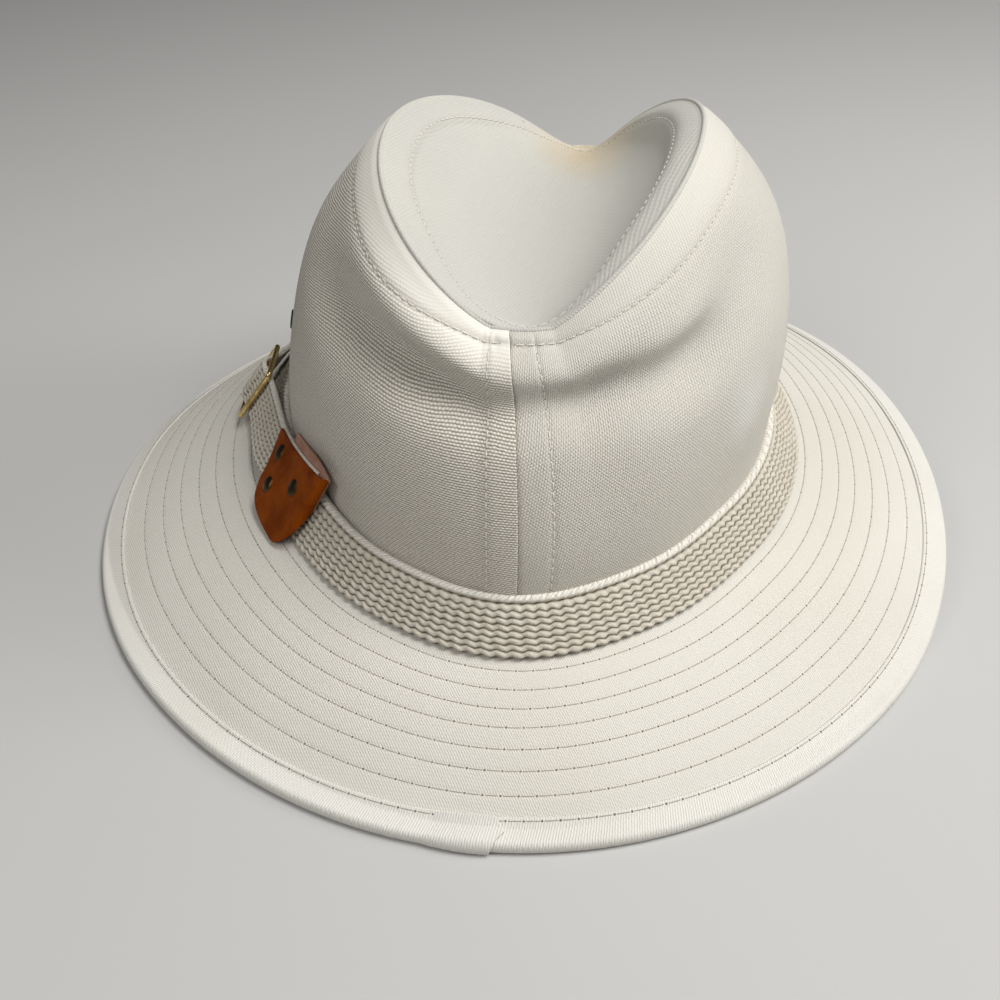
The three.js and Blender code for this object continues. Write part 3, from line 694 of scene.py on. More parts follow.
class Bench:
    """Adds shader nodes to one tree and joins them."""

    def __init__(self, tree: bpy.types.NodeTree) -> None:
        """Works on one node tree."""
        self.tree = tree

    def add(self, kind: str, inputs: dict | None = None, **settings: object) -> bpy.types.Node:
        """Adds a node.

        Args:
            kind: Blender's name for the node.
            inputs: Values or sockets for its inputs, by name or number.
            **settings: Properties of the node.

        Returns:
            The new node.
        """
        node = self.tree.nodes.new(kind)
        for key, value in settings.items():
            setattr(node, key, value)
        for key, value in (inputs or {}).items():
            if isinstance(value, bpy.types.NodeSocket):
                self.tree.links.new(value, node.inputs[key])
            else:
                node.inputs[key].default_value = value
        return node

    def math(self, operation: str, *values: object) -> Socket:
        """Result of a sum on numbers."""
        return self.add("ShaderNodeMath", dict(enumerate(values)), operation=operation).outputs[0]

    def noise(self, place: Socket, scale: float, detail: float = 2.0) -> Socket:
        """A smooth random value from 0 to 1."""
        return self.add("ShaderNodeTexNoise", {"Vector": place, "Scale": scale, "Detail": detail}).outputs[0]

    def window(self, value: Socket, low: float, high: float, start: float = 0.0, end: float = 1.0) -> Socket:
        """A value eased from a start at low to an end at high."""
        inputs = {"Value": value, "From Min": low, "From Max": high, "To Min": start, "To Max": end}
        return self.add("ShaderNodeMapRange", inputs, interpolation_type="SMOOTHSTEP").outputs[0]

    def place(self) -> Socket:
        """Places on a piece, in metres."""
        return self.add("ShaderNodeTexCoord").outputs["Object"]

    def join(self, source: Socket, node: bpy.types.Node, label: str) -> None:
        """Joins a socket to an input of a node."""
        self.tree.links.new(source, node.inputs[label])

    def relief(self, shader: bpy.types.Node, height: Socket, depth: float) -> None:
        """Gives a shader the relief of a height, with its depth in metres."""
        lift = self.add("ShaderNodeBump", {"Height": height, "Distance": depth})
        self.join(lift.outputs[0], shader, "Normal")

    def blend(self, share: object, first: object, second: object) -> Socket:
        """A colour between two colours."""
        first, second = ((*c, 1.0) if isinstance(c, tuple) else c for c in (first, second))
        return self.add("ShaderNodeMix", {0: share, 6: first, 7: second}, data_type="RGBA").outputs[2]


def new_group(
    name: str, inputs: dict[str, str], outputs: dict[str, str],
) -> tuple[Bench, dict[str, Socket], bpy.types.Node]:
    """A shader node group with named sockets.

    Args:
        name: Name of the group.
        inputs: Kind of each input socket.
        outputs: Kind of each output socket.

    Returns:
        A bench on the group, its inputs by name, and the node that takes its outputs.
    """
    tree = bpy.data.node_groups.new(name, "ShaderNodeTree")
    for label, kind in inputs.items():
        tree.interface.new_socket(label, in_out="INPUT", socket_type=kind)
    for label, kind in outputs.items():
        tree.interface.new_socket(label, in_out="OUTPUT", socket_type=kind)
    bench = Bench(tree)
    source = bench.add("NodeGroupInput")
    return bench, {label: source.outputs[label] for label in inputs}, bench.add("NodeGroupOutput")


FLOAT, VECTOR = "NodeSocketFloat", "NodeSocketVector"


class Weaves:
    """Shader node groups that more than one finish uses."""

    def __init__(self) -> None:
        """Builds each group once."""
        self.twill = self.twill_lines()
        self.soil = self.soiling()

    def twill_lines(self) -> bpy.types.NodeTree:
        """Diagonal lines of twill, broken into short floats: their height, and how much shade is painted into the
        gaps between them.
        """
        bench, source, sink = new_group(
            "twill_lines", {"Place": VECTOR, "Spacing": FLOAT, "Float": FLOAT, "Break": FLOAT},
            {"Height": FLOAT, "Gap": FLOAT})
        place, spacing = source["Place"], source["Spacing"]
        x, y, _ = bench.add("ShaderNodeSeparateXYZ", {0: place}).outputs
        wander = bench.math("MULTIPLY_ADD", bench.noise(place, 0.8), 0.35, bench.noise(place, 0.07))
        line = bench.math("DIVIDE", bench.math("MULTIPLY", bench.math("ADD", x, wander), math.tau), spacing)
        ridge = bench.math("MULTIPLY_ADD", bench.math("COSINE", line), 0.5, 0.5)
        shift = bench.math("MULTIPLY", bench.math("ROUND", bench.math("DIVIDE", line, math.tau)), 0.43)
        run = bench.math("ADD", bench.math("DIVIDE", y, source["Float"]), shift)
        floats = bench.math("MULTIPLY_ADD", bench.math("COSINE", bench.math("MULTIPLY", run, math.tau)), 0.5, 0.5)
        ends = bench.math("MULTIPLY", bench.math("SUBTRACT", 1.0, floats), source["Break"])
        broken = bench.math("MULTIPLY", ridge, bench.math("SUBTRACT", 1.0, ends))
        fuzz = bench.math("MULTIPLY", bench.noise(place, 1.1, 3.0), 0.45)
        bench.join(bench.math("ADD", broken, fuzz), sink, "Height")
        # Gap output: painted shade in the gaps between the lines, made uneven by noise.
        grain = bench.math("MULTIPLY_ADD", bench.noise(place, 1.5, 3.0), 1.3, 0.3)
        gaps = bench.math("POWER", bench.math("SUBTRACT", 1.0, broken), 1.7)
        bench.join(bench.math("MULTIPLY", gaps, grain), sink, "Gap")
        return bench.tree

    def soiling(self) -> bpy.types.NodeTree:
        """Handling marks: soft yellowing and a few dark specks."""
        bench, source, sink = new_group("soiling", {"Place": VECTOR}, {"Yellowing": FLOAT, "Specks": FLOAT})
        place = source["Place"]
        bench.join(bench.window(bench.noise(place, 14.0, 3.0), 0.42, 0.75), sink, "Yellowing")
        cells = bench.add("ShaderNodeTexVoronoi", {"Vector": place, "Scale": 75.0})
        draw = bench.add("ShaderNodeSeparateColor", {0: cells.outputs["Color"]}).outputs[0]
        chosen = bench.math("GREATER_THAN", draw, 0.86)
        near = bench.window(cells.outputs["Distance"], 0.02, 0.05, 1.0, 0.0)
        bench.join(bench.math("MULTIPLY", chosen, near), sink, "Specks")
        return bench.tree


def new_material(name: str) -> tuple[bpy.types.Material, Bench, bpy.types.Node]:
    """An empty material, a bench on its nodes, and its shader."""
    material = bpy.data.materials.new(name)
    material.use_nodes = True
    shader = next(node for node in material.node_tree.nodes if node.type == "BSDF_PRINCIPLED")
    return material, Bench(material.node_tree), shader


@dataclass(frozen=True)
class Stain:
    """A soft mark on the cloth: its place and size in metres, its colour and strength."""

    place: tuple[float, float, float]
    size: float
    colour: Colour
    strength: float


@dataclass(frozen=True)
class CottonTwill:
    """Cream cotton twill, with its lines at an angle on the flat cloth."""

    name: str
    angle: float
    spacing: float
    run: float
    broken: float
    gap_shade_strength: float
    bump_depth: float
    thread: Colour = (0.685, 0.665, 0.608)
    # Colour of the painted shade in the gaps between the twill lines.
    gap: Colour = (0.27, 0.235, 0.18)
    yellow: Colour = (0.66, 0.625, 0.535)
    speck: Colour = (0.16, 0.12, 0.08)
    stains: tuple[Stain, ...] = ()

    def material(self, weaves: Weaves) -> bpy.types.Material:
        """The finish as a material."""
        material, bench, shader = new_material(self.name)
        cloth = bench.add("ShaderNodeUVMap", uv_map=CLOTH_UV).outputs[0]
        turned = bench.add("ShaderNodeMapping", {"Vector": cloth, "Rotation": (0, 0, math.radians(self.angle))})
        place = bench.place()
        twill = bench.add("ShaderNodeGroup", node_tree=weaves.twill)
        bench.join(turned.outputs[0], twill, "Place")
        for label, value in (("Spacing", self.spacing), ("Float", self.run), ("Break", self.broken)):
            twill.inputs[label].default_value = value
        soil = bench.add("ShaderNodeGroup", node_tree=weaves.soil)
        bench.join(place, soil, "Place")
        clear = bench.math("SUBTRACT", 1.0, bench.add("ShaderNodeAttribute", attribute_name=PRESSED).outputs["Fac"])
        # Painted shade in the gaps between the twill lines, weaker where the weave is pressed smooth.
        shade = bench.math("MULTIPLY", bench.math("MULTIPLY", twill.outputs["Gap"], clear), self.gap_shade_strength)
        colour = bench.blend(bench.math("MULTIPLY", soil.outputs["Yellowing"], 0.35), self.thread, self.yellow)
        colour = bench.blend(shade, colour, self.gap)
        for stain in self.stains:
            far = bench.add("ShaderNodeVectorMath", {0: place, 1: stain.place}, operation="DISTANCE").outputs["Value"]
            patch = bench.window(far, 0.0, stain.size, stain.strength, 0.0)
            uneven = bench.math("MULTIPLY_ADD", bench.noise(place, 90.0), 0.9, 0.5)
            colour = bench.blend(bench.math("MULTIPLY", patch, uneven), colour, stain.colour)
        colour = bench.blend(bench.math("MULTIPLY", soil.outputs["Specks"], 0.8), colour, self.speck)
        height = bench.math("MULTIPLY", twill.outputs["Height"], clear)
        bench.relief(shader, height, self.bump_depth)
        bench.join(colour, shader, "Base Color")
        shader.inputs["Roughness"].default_value = 0.92
        shader.inputs["Specular IOR Level"].default_value = 0.2
        shader.inputs["Sheen Weight"].default_value = 0.12
        return material


@dataclass(frozen=True)
class CottonYarn:
    """Soft spun cotton of the sewing thread."""

    name: str
    yarn: Colour
    shade: Colour
    twist: float = 2400.0
    depth: float = 0.0001

    def material(self) -> bpy.types.Material:
        """The finish as a material."""
        material, bench, shader = new_material(self.name)
        place = bench.place()
        fibres = bench.noise(place, self.twist, 3.0)
        patches = bench.noise(place, 60.0, 2.0)
        mixed = bench.math("MULTIPLY_ADD", patches, 0.4, bench.math("MULTIPLY", fibres, 0.4))
        bench.join(bench.blend(mixed, self.yarn, self.shade), shader, "Base Color")
        bench.relief(shader, fibres, self.depth)
        shader.inputs["Roughness"].default_value = 0.95
        shader.inputs["Specular IOR Level"].default_value = 0.15
        shader.inputs["Sheen Weight"].default_value = 0.15
        return material


@dataclass(frozen=True)
class WebbingYarn:
    """Soft cotton cords of the webbing, with shade painted into the gaps between them."""

    name: str
    yarn: Colour = (0.70, 0.665, 0.59)
    shade: Colour = (0.52, 0.47, 0.38)
    # Colour of the painted shade in the gaps and grooves.
    gap: Colour = (0.15, 0.12, 0.078)
    # Lighter colour of the top rope: painted light on the edge that stands up into the light.
    edge: Colour = (0.84, 0.815, 0.755)
    selvedge: float = 2.2
    pitch: float = 1.875
    wave: float = 3.45
    twist: float = 1.5

    def material(self) -> bpy.types.Material:
        """The finish as a material."""
        material, bench, shader = new_material(self.name)
        flat = bench.add("ShaderNodeUVMap", uv_map=CLOTH_UV).outputs[0]
        place = bench.place()
        along, across, _ = bench.add("ShaderNodeSeparateXYZ", {0: flat}).outputs
        cord = bench.math("FRACT", bench.math("DIVIDE", bench.math("SUBTRACT", across, self.selvedge), self.pitch))
        beside = bench.math("ABSOLUTE", bench.math("MULTIPLY_ADD", cord, 2.0, -1.0))
        below = bench.window(across, self.selvedge * 0.5, self.selvedge * 0.75)
        # Painted shade in the gaps between the cords, stronger where their waves dip, and a little between the lumps
        # along each cord.
        crests = bench.math("COSINE", bench.math("MULTIPLY", along, math.tau / self.wave))
        depth = bench.math("MULTIPLY_ADD", crests, -0.32, 0.64)
        dips = bench.window(crests, -1.0, 0.1, 0.14, 0.0)
        between = bench.math("MULTIPLY", bench.window(beside, 0.35, 1.0), depth)
        gaps = bench.math("MULTIPLY", bench.math("MAXIMUM", between, dips), below)
        # Painted shade in the grooves of the twisted top rope.
        slant = bench.math("MULTIPLY_ADD", across, 0.8, bench.math("DIVIDE", along, self.twist))
        strands = bench.math("SINE", bench.math("MULTIPLY", slant, math.tau))
        rope = bench.math("MULTIPLY", bench.window(strands, 0.3, 0.95), bench.math("SUBTRACT", 0.28, below))
        fibres = bench.noise(place, 1300.0, 3.0)
        colour = bench.blend(bench.math("MULTIPLY", bench.noise(place, 70.0), 0.7), self.yarn, self.shade)
        # Painted light: the top rope takes the lighter edge colour.
        colour = bench.blend(below, self.edge, colour)
        colour = bench.blend(bench.math("MULTIPLY", fibres, 0.35), colour, self.shade)
        colour = bench.blend(bench.math("MAXIMUM", rope, 0.0), colour, self.gap)
        bench.join(bench.blend(gaps, colour, self.gap), shader, "Base Color")
        height = bench.math("SUBTRACT", fibres, bench.math("MAXIMUM", rope, 0.0))
        bench.relief(shader, height, 0.0003)
        shader.inputs["Roughness"].default_value = 0.95
        shader.inputs["Specular IOR Level"].default_value = 0.15
        return material


@dataclass(frozen=True)
class Leather:
    """Smooth tan leather with a fine grain."""

    name: str
    tan: Colour = (0.265, 0.055, 0.002)
    dark: Colour = (0.155, 0.029, 0.0012)
    roughness: float = 0.42
    gloss: float = 0.04

    def material(self) -> bpy.types.Material:
        """The finish as a material."""
        material, bench, shader = new_material(self.name)
        place = bench.place()
        grain = bench.add("ShaderNodeTexVoronoi", {"Vector": place, "Scale": 1500.0}).outputs["Distance"]
        mottle = bench.window(bench.noise(place, 110.0, 4.0), 0.3, 0.75)
        bench.join(bench.blend(mottle, self.tan, self.dark), shader, "Base Color")
        bench.relief(shader, grain, 0.00012)
        rough = bench.math("MULTIPLY_ADD", mottle, 0.15, self.roughness)
        bench.join(rough, shader, "Roughness")
        shader.inputs["Specular IOR Level"].default_value = self.gloss
        return material


@dataclass(frozen=True)
class Metal:
    """Worn metal: bright where it is rubbed and dull in patches."""

    name: str
    bright: Colour
    dull: Colour
    roughness: float

    def material(self) -> bpy.types.Material:
        """The finish as a material."""
        material, bench, shader = new_material(self.name)
        place = bench.place()
        patches = bench.window(bench.noise(place, 260.0, 4.0), 0.35, 0.7)
        bench.join(bench.blend(patches, self.bright, self.dull), shader, "Base Color")
        rough = bench.math("MULTIPLY_ADD", patches, 0.22, self.roughness)
        bench.join(rough, shader, "Roughness")
        shader.inputs["Metallic"].default_value = 1.0
        return material


@dataclass(frozen=True)
class NeedleHole:
    """Shadowed inside of a needle hole in cotton."""

    name: str = "needle_hole"
    deep: Colour = (0.15, 0.125, 0.09)
    edge: Colour = (0.28, 0.24, 0.18)

    def material(self) -> bpy.types.Material:
        """The finish as a material."""
        material, bench, shader = new_material(self.name)
        place = bench.place()
        share = bench.window(bench.noise(place, 120.0), 0.35, 0.65)
        bench.join(bench.blend(share, self.deep, self.edge), shader, "Base Color")
        shader.inputs["Roughness"].default_value = 1.0
        return material


@dataclass
class Finishes:
    """Every finish of the hat, made once."""

    weaves: Weaves = field(default_factory=Weaves)

    def __post_init__(self) -> None:
        """Makes the materials."""
        pink = Stain((0.009, -0.082, 0.091), 0.004, (0.75, 0.45, 0.40), 0.45)
        crease = Stain((0.024, 0.072, 0.101), 0.034, (0.60, 0.47, 0.28), 0.6)
        pale = Stain((0.075, -0.05, 0.072), 0.018, (0.78, 0.77, 0.76), 0.6)
        twills = (
            # The left panel's thread is lighter than the right panel's: painted light on the side that faces away
            # from the lamps.
            CottonTwill(
                "twill_left_panel", 76.0, 0.8, 1.1, 0.6, 1.0, 0.00014, thread=(0.90, 0.875, 0.80), stains=(pink,)),
            CottonTwill("twill_right_panel", 34.0, 0.8, 1.0, 0.7, 0.36, 0.00025, stains=(pink, pale)),
            # The tip's thread is darker and greyer than the panels': painted shade that tones down the brightly lit
            # hollow of the crease.
            CottonTwill(
                "twill_tip", 20.0, 0.9, 2.0, 0.5, 0.08, 0.0001, thread=(0.556, 0.549, 0.508), stains=(crease,)),
            CottonTwill("twill_brim", -30.0, 0.64, 1.2, 0.6, 0.17, 0.00012, thread=(0.735, 0.715, 0.655)),
            CottonTwill("twill_tape", 12.0, 0.75, 1.6, 0.5, 0.16, 0.00015, thread=(0.79, 0.775, 0.725)),
        )
        self.left_panel, self.right_panel, self.tip, self.brim, self.tape = (
            twill.material(self.weaves) for twill in twills)
        self.webbing = WebbingYarn("webbing_yarn").material()
        self.thread = CottonYarn("sewing_thread", (0.76, 0.735, 0.665), (0.62, 0.58, 0.50)).material()
        # The brim's sewing thread is darkened: painted shade of the grooves that its stitches lie in.
        self.brim_thread = CottonYarn("brim_thread", (0.46, 0.42, 0.35), (0.37, 0.335, 0.275)).material()
        self.hole = NeedleHole().material()
        self.leather = Leather("tan_leather").material()
        self.inner_leather = Leather("inner_leather", (0.60, 0.36, 0.28), (0.48, 0.25, 0.18), 0.75).material()
        self.brass = Metal("brass", (0.86, 0.65, 0.29), (0.52, 0.36, 0.13), 0.2).material()
        self.dark_brass = Metal("dark_brass", (0.12, 0.075, 0.034), (0.045, 0.029, 0.015), 0.35).material()


# Sub-assemblies


@dataclass
class Crown:
    """Two side panels and a creased tip, sewn together."""

    shape: HatShape
    finishes: Finishes
    cloth: float = 1.5
    columns: int = 260
    rows: int = 112
    tip_columns: int = 190
    tip_rows: int = 190
    lap: float = 0.65
    tuck: float = 1.0
    tuck_depth: float = 0.9
    tuck_width: float = 1.5
    tuck_sink: float = 0.4
    pucker: float = 0.4
    pucker_place: tuple[float, float] = (4.5, 3.2)
    pucker_width: float = 1.5
    top_width: float = 0.72
    seam_fold: float = 0.8
    fold_width: float = 9.5
    left_stitch: float = 7.0
    right_stitch: float = 11.0
    rim_stitch: float = 10.0
    rim_stitch_ends: float = 3.6
    flange: float = 0.5
    tip_flange: tuple[float, float] = (1.3, 3.2)
    tip_drop: tuple[float, float] = (2.6, 9.0)
    rim_calm: float = 3.0
    rim_thin: float = 7.0
    thin_share: float = 0.06
    fold_columns: int = 720
    fold_sides: int = 10
    fold_radius: float = 0.8
    fold_sink: tuple[float, float] = (0.75, 0.5)
    corner: tuple[float, float] = (2.0, 9.0)
    groove: float = 0.3
    groove_width: float = 0.9
    ripple: float = 0.45
    ripple_calm: float = 12.0
    pattern_radius: float = 420.0
    rim_step: float = 0.1
    rim_press: tuple[float, float] = (0.5, 0.9)
    press_zone: tuple[float, float] = (4.0, 14.0)
    stitch: float = 2.9
    tip_stitch: float = 3.1
    up: Spacing = Spacing((0.0, 0.58, 0.85, 1.0), (0.0, 0.86, 0.97, 1.0))
    over: Spacing = Spacing((0.0, 0.14, 0.34, 0.66, 0.86, 1.0), (0.0, 0.035, 0.18, 0.82, 0.965, 1.0))
    rim: KDTree = field(init=False)

    def __post_init__(self) -> None:
        """Keeps points of the rim seam, for distances from it."""
        points = self.shape.to_hat(self.shape.rim_point(np.arange(0.0, 360.0, self.rim_step)))
        self.rim = KDTree(len(points))
        for number, point in enumerate(points):
            self.rim.insert(point, number)
        self.rim.balance()

    def to_rim(self, points: Array) -> tuple[Array, Array]:
        """Distance of each point from the rim seam, in millimetres, and the nearest rim angle."""
        found = np.array([self.rim.find(point)[1:] for point in points])
        return found[:, 1], found[:, 0] * self.rim_step

    def thinned(self, piece: bpy.types.Object) -> Array:
        """Share of the cloth's thickness at each point of a piece, which is small at the rim seam."""
        away, _ = self.to_rim(np.array([point.co for point in piece.data.vertices]) / METRES)
        return mix(self.thin_share, 1.0, np.clip(away / self.rim_thin, 0.0, 1.0))

    def stitch_reach(self, angle: Array) -> Array:
        """Distance of the stitched rows from the rim seam, which is less at the ends of the crease."""
        sideways = np.abs(np.cos(np.radians(angle)))
        return mix(self.rim_stitch_ends, self.rim_stitch, ease(0.1, 0.8, sideways))

    def rim_relief(self, away: Array, reach: Array) -> Array:
        """Height beside the rim seam, which is lower along the stitched row."""
        return -self.groove * bump(away - reach, self.groove_width)

    def rim_fold(self, u: Array, v: Array) -> Array:
        """Skin of the thin fold of cloth that stands along the rim seam."""
        angle, reach = np.mod(u, 1.0) * 360.0, 2.0
        centre = self.shape.rim_point(angle)
        along = unit(self.shape.rim_point(angle + reach) - self.shape.rim_point(angle - reach))
        side = unit(np.cross(along, np.array((0.0, 0.0, 1.0))))
        out, turn = np.cross(side, along), v * math.tau
        sideways = np.abs(np.cos(np.radians(angle)))
        rise = self.fold_radius * np.cos(turn) - mix(*self.fold_sink, ease(0.2, 0.7, sideways))
        return self.shape.to_hat(
            centre + out * rise[:, None] + side * (self.fold_radius * np.sin(turn))[:, None])

    def panel(self, start: float, end: float, left: bool) -> tuple[Surface, Surface, Surface]:
        """Shape and flat cloth of one side panel.

        Args:
            start: Rim angle of its first seam.
            end: Rim angle of its last seam.
            left: Whether it is the left panel, whose seam allowance lies on top.

        Returns:
            The raised outside surface, the flat places on its cloth, and how smooth its weave is.
        """
        shape, around = self.shape, self.around(start, end, left)
        sample = np.arange(start - 5.0, end + 5.1, 0.5)
        heights = shape.wall_length(sample)

        def surface(u: Array, v: Array) -> Array:
            """Plain outside of the panel."""
            return shape.to_hat(shape.wall(around.at(u), self.up.at(v)))

        def relief(u: Array, v: Array) -> Array:
            """Seam folds, stitched grooves, the edge at the rim and slight unevenness."""
            angle, share = around.at(u), self.up.at(v)
            away = (1.0 - share) * np.interp(angle, sample, heights)
            length = shape.round_length(angle)
            calm = ease(0.02, 0.2, share) * ease(0.0, self.ripple_calm, away)
            height = soft_ripple(surface(u, v), self.ripple) * calm
            reach = self.stitch_reach(angle)
            height = height + self.rim_relief(away, reach)
            height = height + self.flange * (1.0 - ease(-0.8, 0.8, away - reach))
            for seam in (start, end):
                beside = np.abs(length - shape.round_length(np.array(seam))) * mix(1.0, self.top_width, share)
                if left:
                    height = height + self.seam_fold * (1.0 - ease(self.fold_width - 3.0, self.fold_width, beside))
                    height = height - self.groove * bump(beside - self.left_stitch, self.groove_width)
                    along, below = self.pucker_place
                    height = height - self.pucker * bump(np.hypot(beside - along, away - below), self.pucker_width)
                else:
                    height = height - self.tuck_depth * bump(beside, self.tuck_width)
                    height = height - self.groove * bump(beside - self.right_stitch, self.groove_width)
            sink = 0.0 if left else self.tuck_sink * ease(0.0, 0.5, np.maximum(start - angle, angle - end))
            return height * ease(0.0, self.rim_calm, away) - sink

        def cloth(u: Array, v: Array) -> Array:
            """Places on the flat, curved cut of the panel."""
            angle, share = around.at(u), self.up.at(v)
            middle = shape.round_length(np.array((start + end) / 2.0))
            turn = (shape.round_length(angle) - middle) / self.pattern_radius
            reach = self.pattern_radius - share * np.interp(angle, sample, heights)
            return np.stack([reach * np.sin(turn), self.pattern_radius - reach * np.cos(turn)], axis=-1)

        def pressed(u: Array, v: Array) -> Array:
            """How smooth the strip beside the rim is."""
            away = (1.0 - self.up.at(v)) * np.interp(around.at(u), sample, heights)
            return self.rim_press[left] * (1.0 - ease(*self.press_zone, away))

        return raised(surface, relief), cloth, pressed

    def around(self, start: float, end: float, left: bool) -> Spacing:
        """Rim angles of the columns of a panel, closer together by its seams."""
        past = self.lap if left else self.tuck
        return Spacing((0.0, 0.12, 0.88, 1.0), (start - past, start + 9.0, end - 9.0, end + past))

    def tip_surface(self) -> tuple[Surface, Surface]:
        """Raised outside of the tip, and the flat places on its cloth."""
        shape = self.shape
        blunt = shape.blunt_end
        corners = shape.to_hat(shape.rim_point(np.array((-90 - blunt, -90 + blunt, 90 - blunt, 90 + blunt))))

        def surface(u: Array, v: Array) -> Array:
            """Plain outside of the tip."""
            return shape.to_hat(shape.tip(np.clip(self.over.at(u), 0, 1), np.clip(self.over.at(v), 0, 1)))

        def relief(u: Array, v: Array) -> Array:
            """Edge at the rim, the stiff strip inside it, a stitched groove and slight unevenness."""
            points = surface(u, v)
            away, angle = self.to_rim(points)
            reach = self.stitch_reach(angle)
            right = ease(-0.3, 0.3, np.cos(np.radians(angle)))
            drop = np.clip((away - reach + 0.6) / (mix(*self.tip_drop, right) + 0.6), 0.0, 1.0)
            strip = ease(0.0, 0.8, away / reach) * (1.0 - ease(0.0, 1.0, drop))
            wide = (reach - self.rim_stitch_ends) / (self.rim_stitch - self.rim_stitch_ends)
            stand = mix(*self.tip_flange, right) * wide
            height = soft_ripple(points, self.ripple) * ease(0.0, self.ripple_calm, away)
            near = np.linalg.norm(points[:, None] - corners, axis=-1).min(axis=1)
            height = height + self.rim_relief(away, reach) + stand * strip
            return height * ease(0.0, self.rim_calm, away) * ease(*self.corner, near)

        def cloth(u: Array, v: Array) -> Array:
            """Places on the flat oval cut of the tip."""
            return surface(u, v)[:, :2]

        return raised(surface, relief), cloth

    def build(self) -> None:
        """Makes the panels, the tip and their stitching."""
        shape, finishes = self.shape, self.finishes
        back, front = shape.back_seam, shape.front_seam
        panels = (
            ("crown_panel_right", "crown_side_right", back, front, False, finishes.right_panel),
            ("crown_panel_left", "crown_side_left", front, back + 360.0, True, finishes.left_panel),
        )
        stitching = Stitching("crown", finishes.thread, finishes.hole, radius=0.2, hole_radius=0.2)
        for name, node, start, end, left, finish in panels:
            surface, cloth, pressed = self.panel(start, end, left)
            mesh = grid_mesh(self.columns, self.rows, surface, cloth, pressed)
            piece = make_piece(name, mesh, finish, Slot.COTTON, (node,))
            thicken(piece, self.cloth, share=self.thinned(piece))
            declare_sheet(piece)
            stitching.rows += self.panel_rows(surface, start, end, left)
        surface, cloth = self.tip_surface()
        mesh = grid_mesh(self.tip_columns, self.tip_rows, surface, cloth)
        piece = make_piece("crown_top", mesh, finishes.tip, Slot.COTTON, ("crown_tip",))
        thicken(piece, self.cloth, share=self.thinned(piece))
        declare_sheet(piece)
        fold = grid_mesh(
            self.fold_columns, self.fold_sides, self.rim_fold, lambda u, v: np.stack([u * 360.0, v * 5.0], axis=-1),
            weld=True)
        bmesh.ops.recalc_face_normals(fold, faces=fold.faces)
        make_piece("rim_fold", fold, finishes.tip, Slot.COTTON)
        stitching.rows.append(self.tip_row(surface))
        stitching.build()

    def panel_rows(self, surface: Surface, start: float, end: float, left: bool) -> list[StitchRow]:
        """Rows of topstitching on one side panel.

        Args:
            surface: Raised outside of the panel.
            start: Rim angle of its first seam.
            end: Rim angle of its last seam.
            left: Whether it is the left panel.

        Returns:
            A row beside each seam, and one below the rim.
        """
        shape, around = self.shape, self.around(start, end, left)
        rows = []
        places = np.arange(start - 5.0, end + 5.0, 0.25)
        share = np.linspace(0.12, 0.94, 140)
        v = self.up.share(share)
        reach = self.left_stitch if left else self.right_stitch
        for seam, side in ((start, 1.0), (end, -1.0)):
            at = shape.round_length(np.array(seam)) + side * reach / mix(1.0, self.top_width, share)
            u = around.share(np.interp(at, shape.round_length(places), places))
            rows.append(stitch_row(surface, u, v, self.stitch))
        angle = np.linspace(start + 2.0, end - 2.0, 600)
        u = around.share(angle)
        v = self.up.share(1.0 - self.stitch_reach(angle) / shape.wall_length(angle))
        rows.append(stitch_row(surface, u, v, self.stitch))
        return rows

    def tip_row(self, surface: Surface) -> StitchRow:
        """The row of stitches inside the rim of the tip, straight across its two blunt ends."""
        stations = np.linspace(0.058, 0.942, 260)
        probes = np.linspace(0.0, 0.5, 140)
        sides = []
        for left in (True, False):
            across = np.broadcast_to(probes if left else 1.0 - probes, (len(stations), len(probes)))
            points = self.shape.to_hat(self.shape.tip(across, stations[:, None]))
            away, angle = self.to_rim(points.reshape(-1, 3))
            past = (away - self.stitch_reach(angle)).reshape(across.shape)
            sides.append([np.interp(0.0, np.maximum.accumulate(p), x) for p, x in zip(past, across)])
        ends = [np.linspace(sides[0][row], sides[1][row], 24)[1:-1] for row in (-1, 0)]
        across = np.concatenate([sides[0], ends[0], sides[1][::-1], ends[1][::-1], sides[0][:1]])
        station = np.concatenate([
            stations, np.full(len(ends[0]), stations[-1]), stations[::-1], np.full(len(ends[1]), stations[0]),
            stations[:1]])
        u, v = self.over.share(across), self.over.share(station)
        return stitch_row(surface, u, v, self.tip_stitch, closed=True)


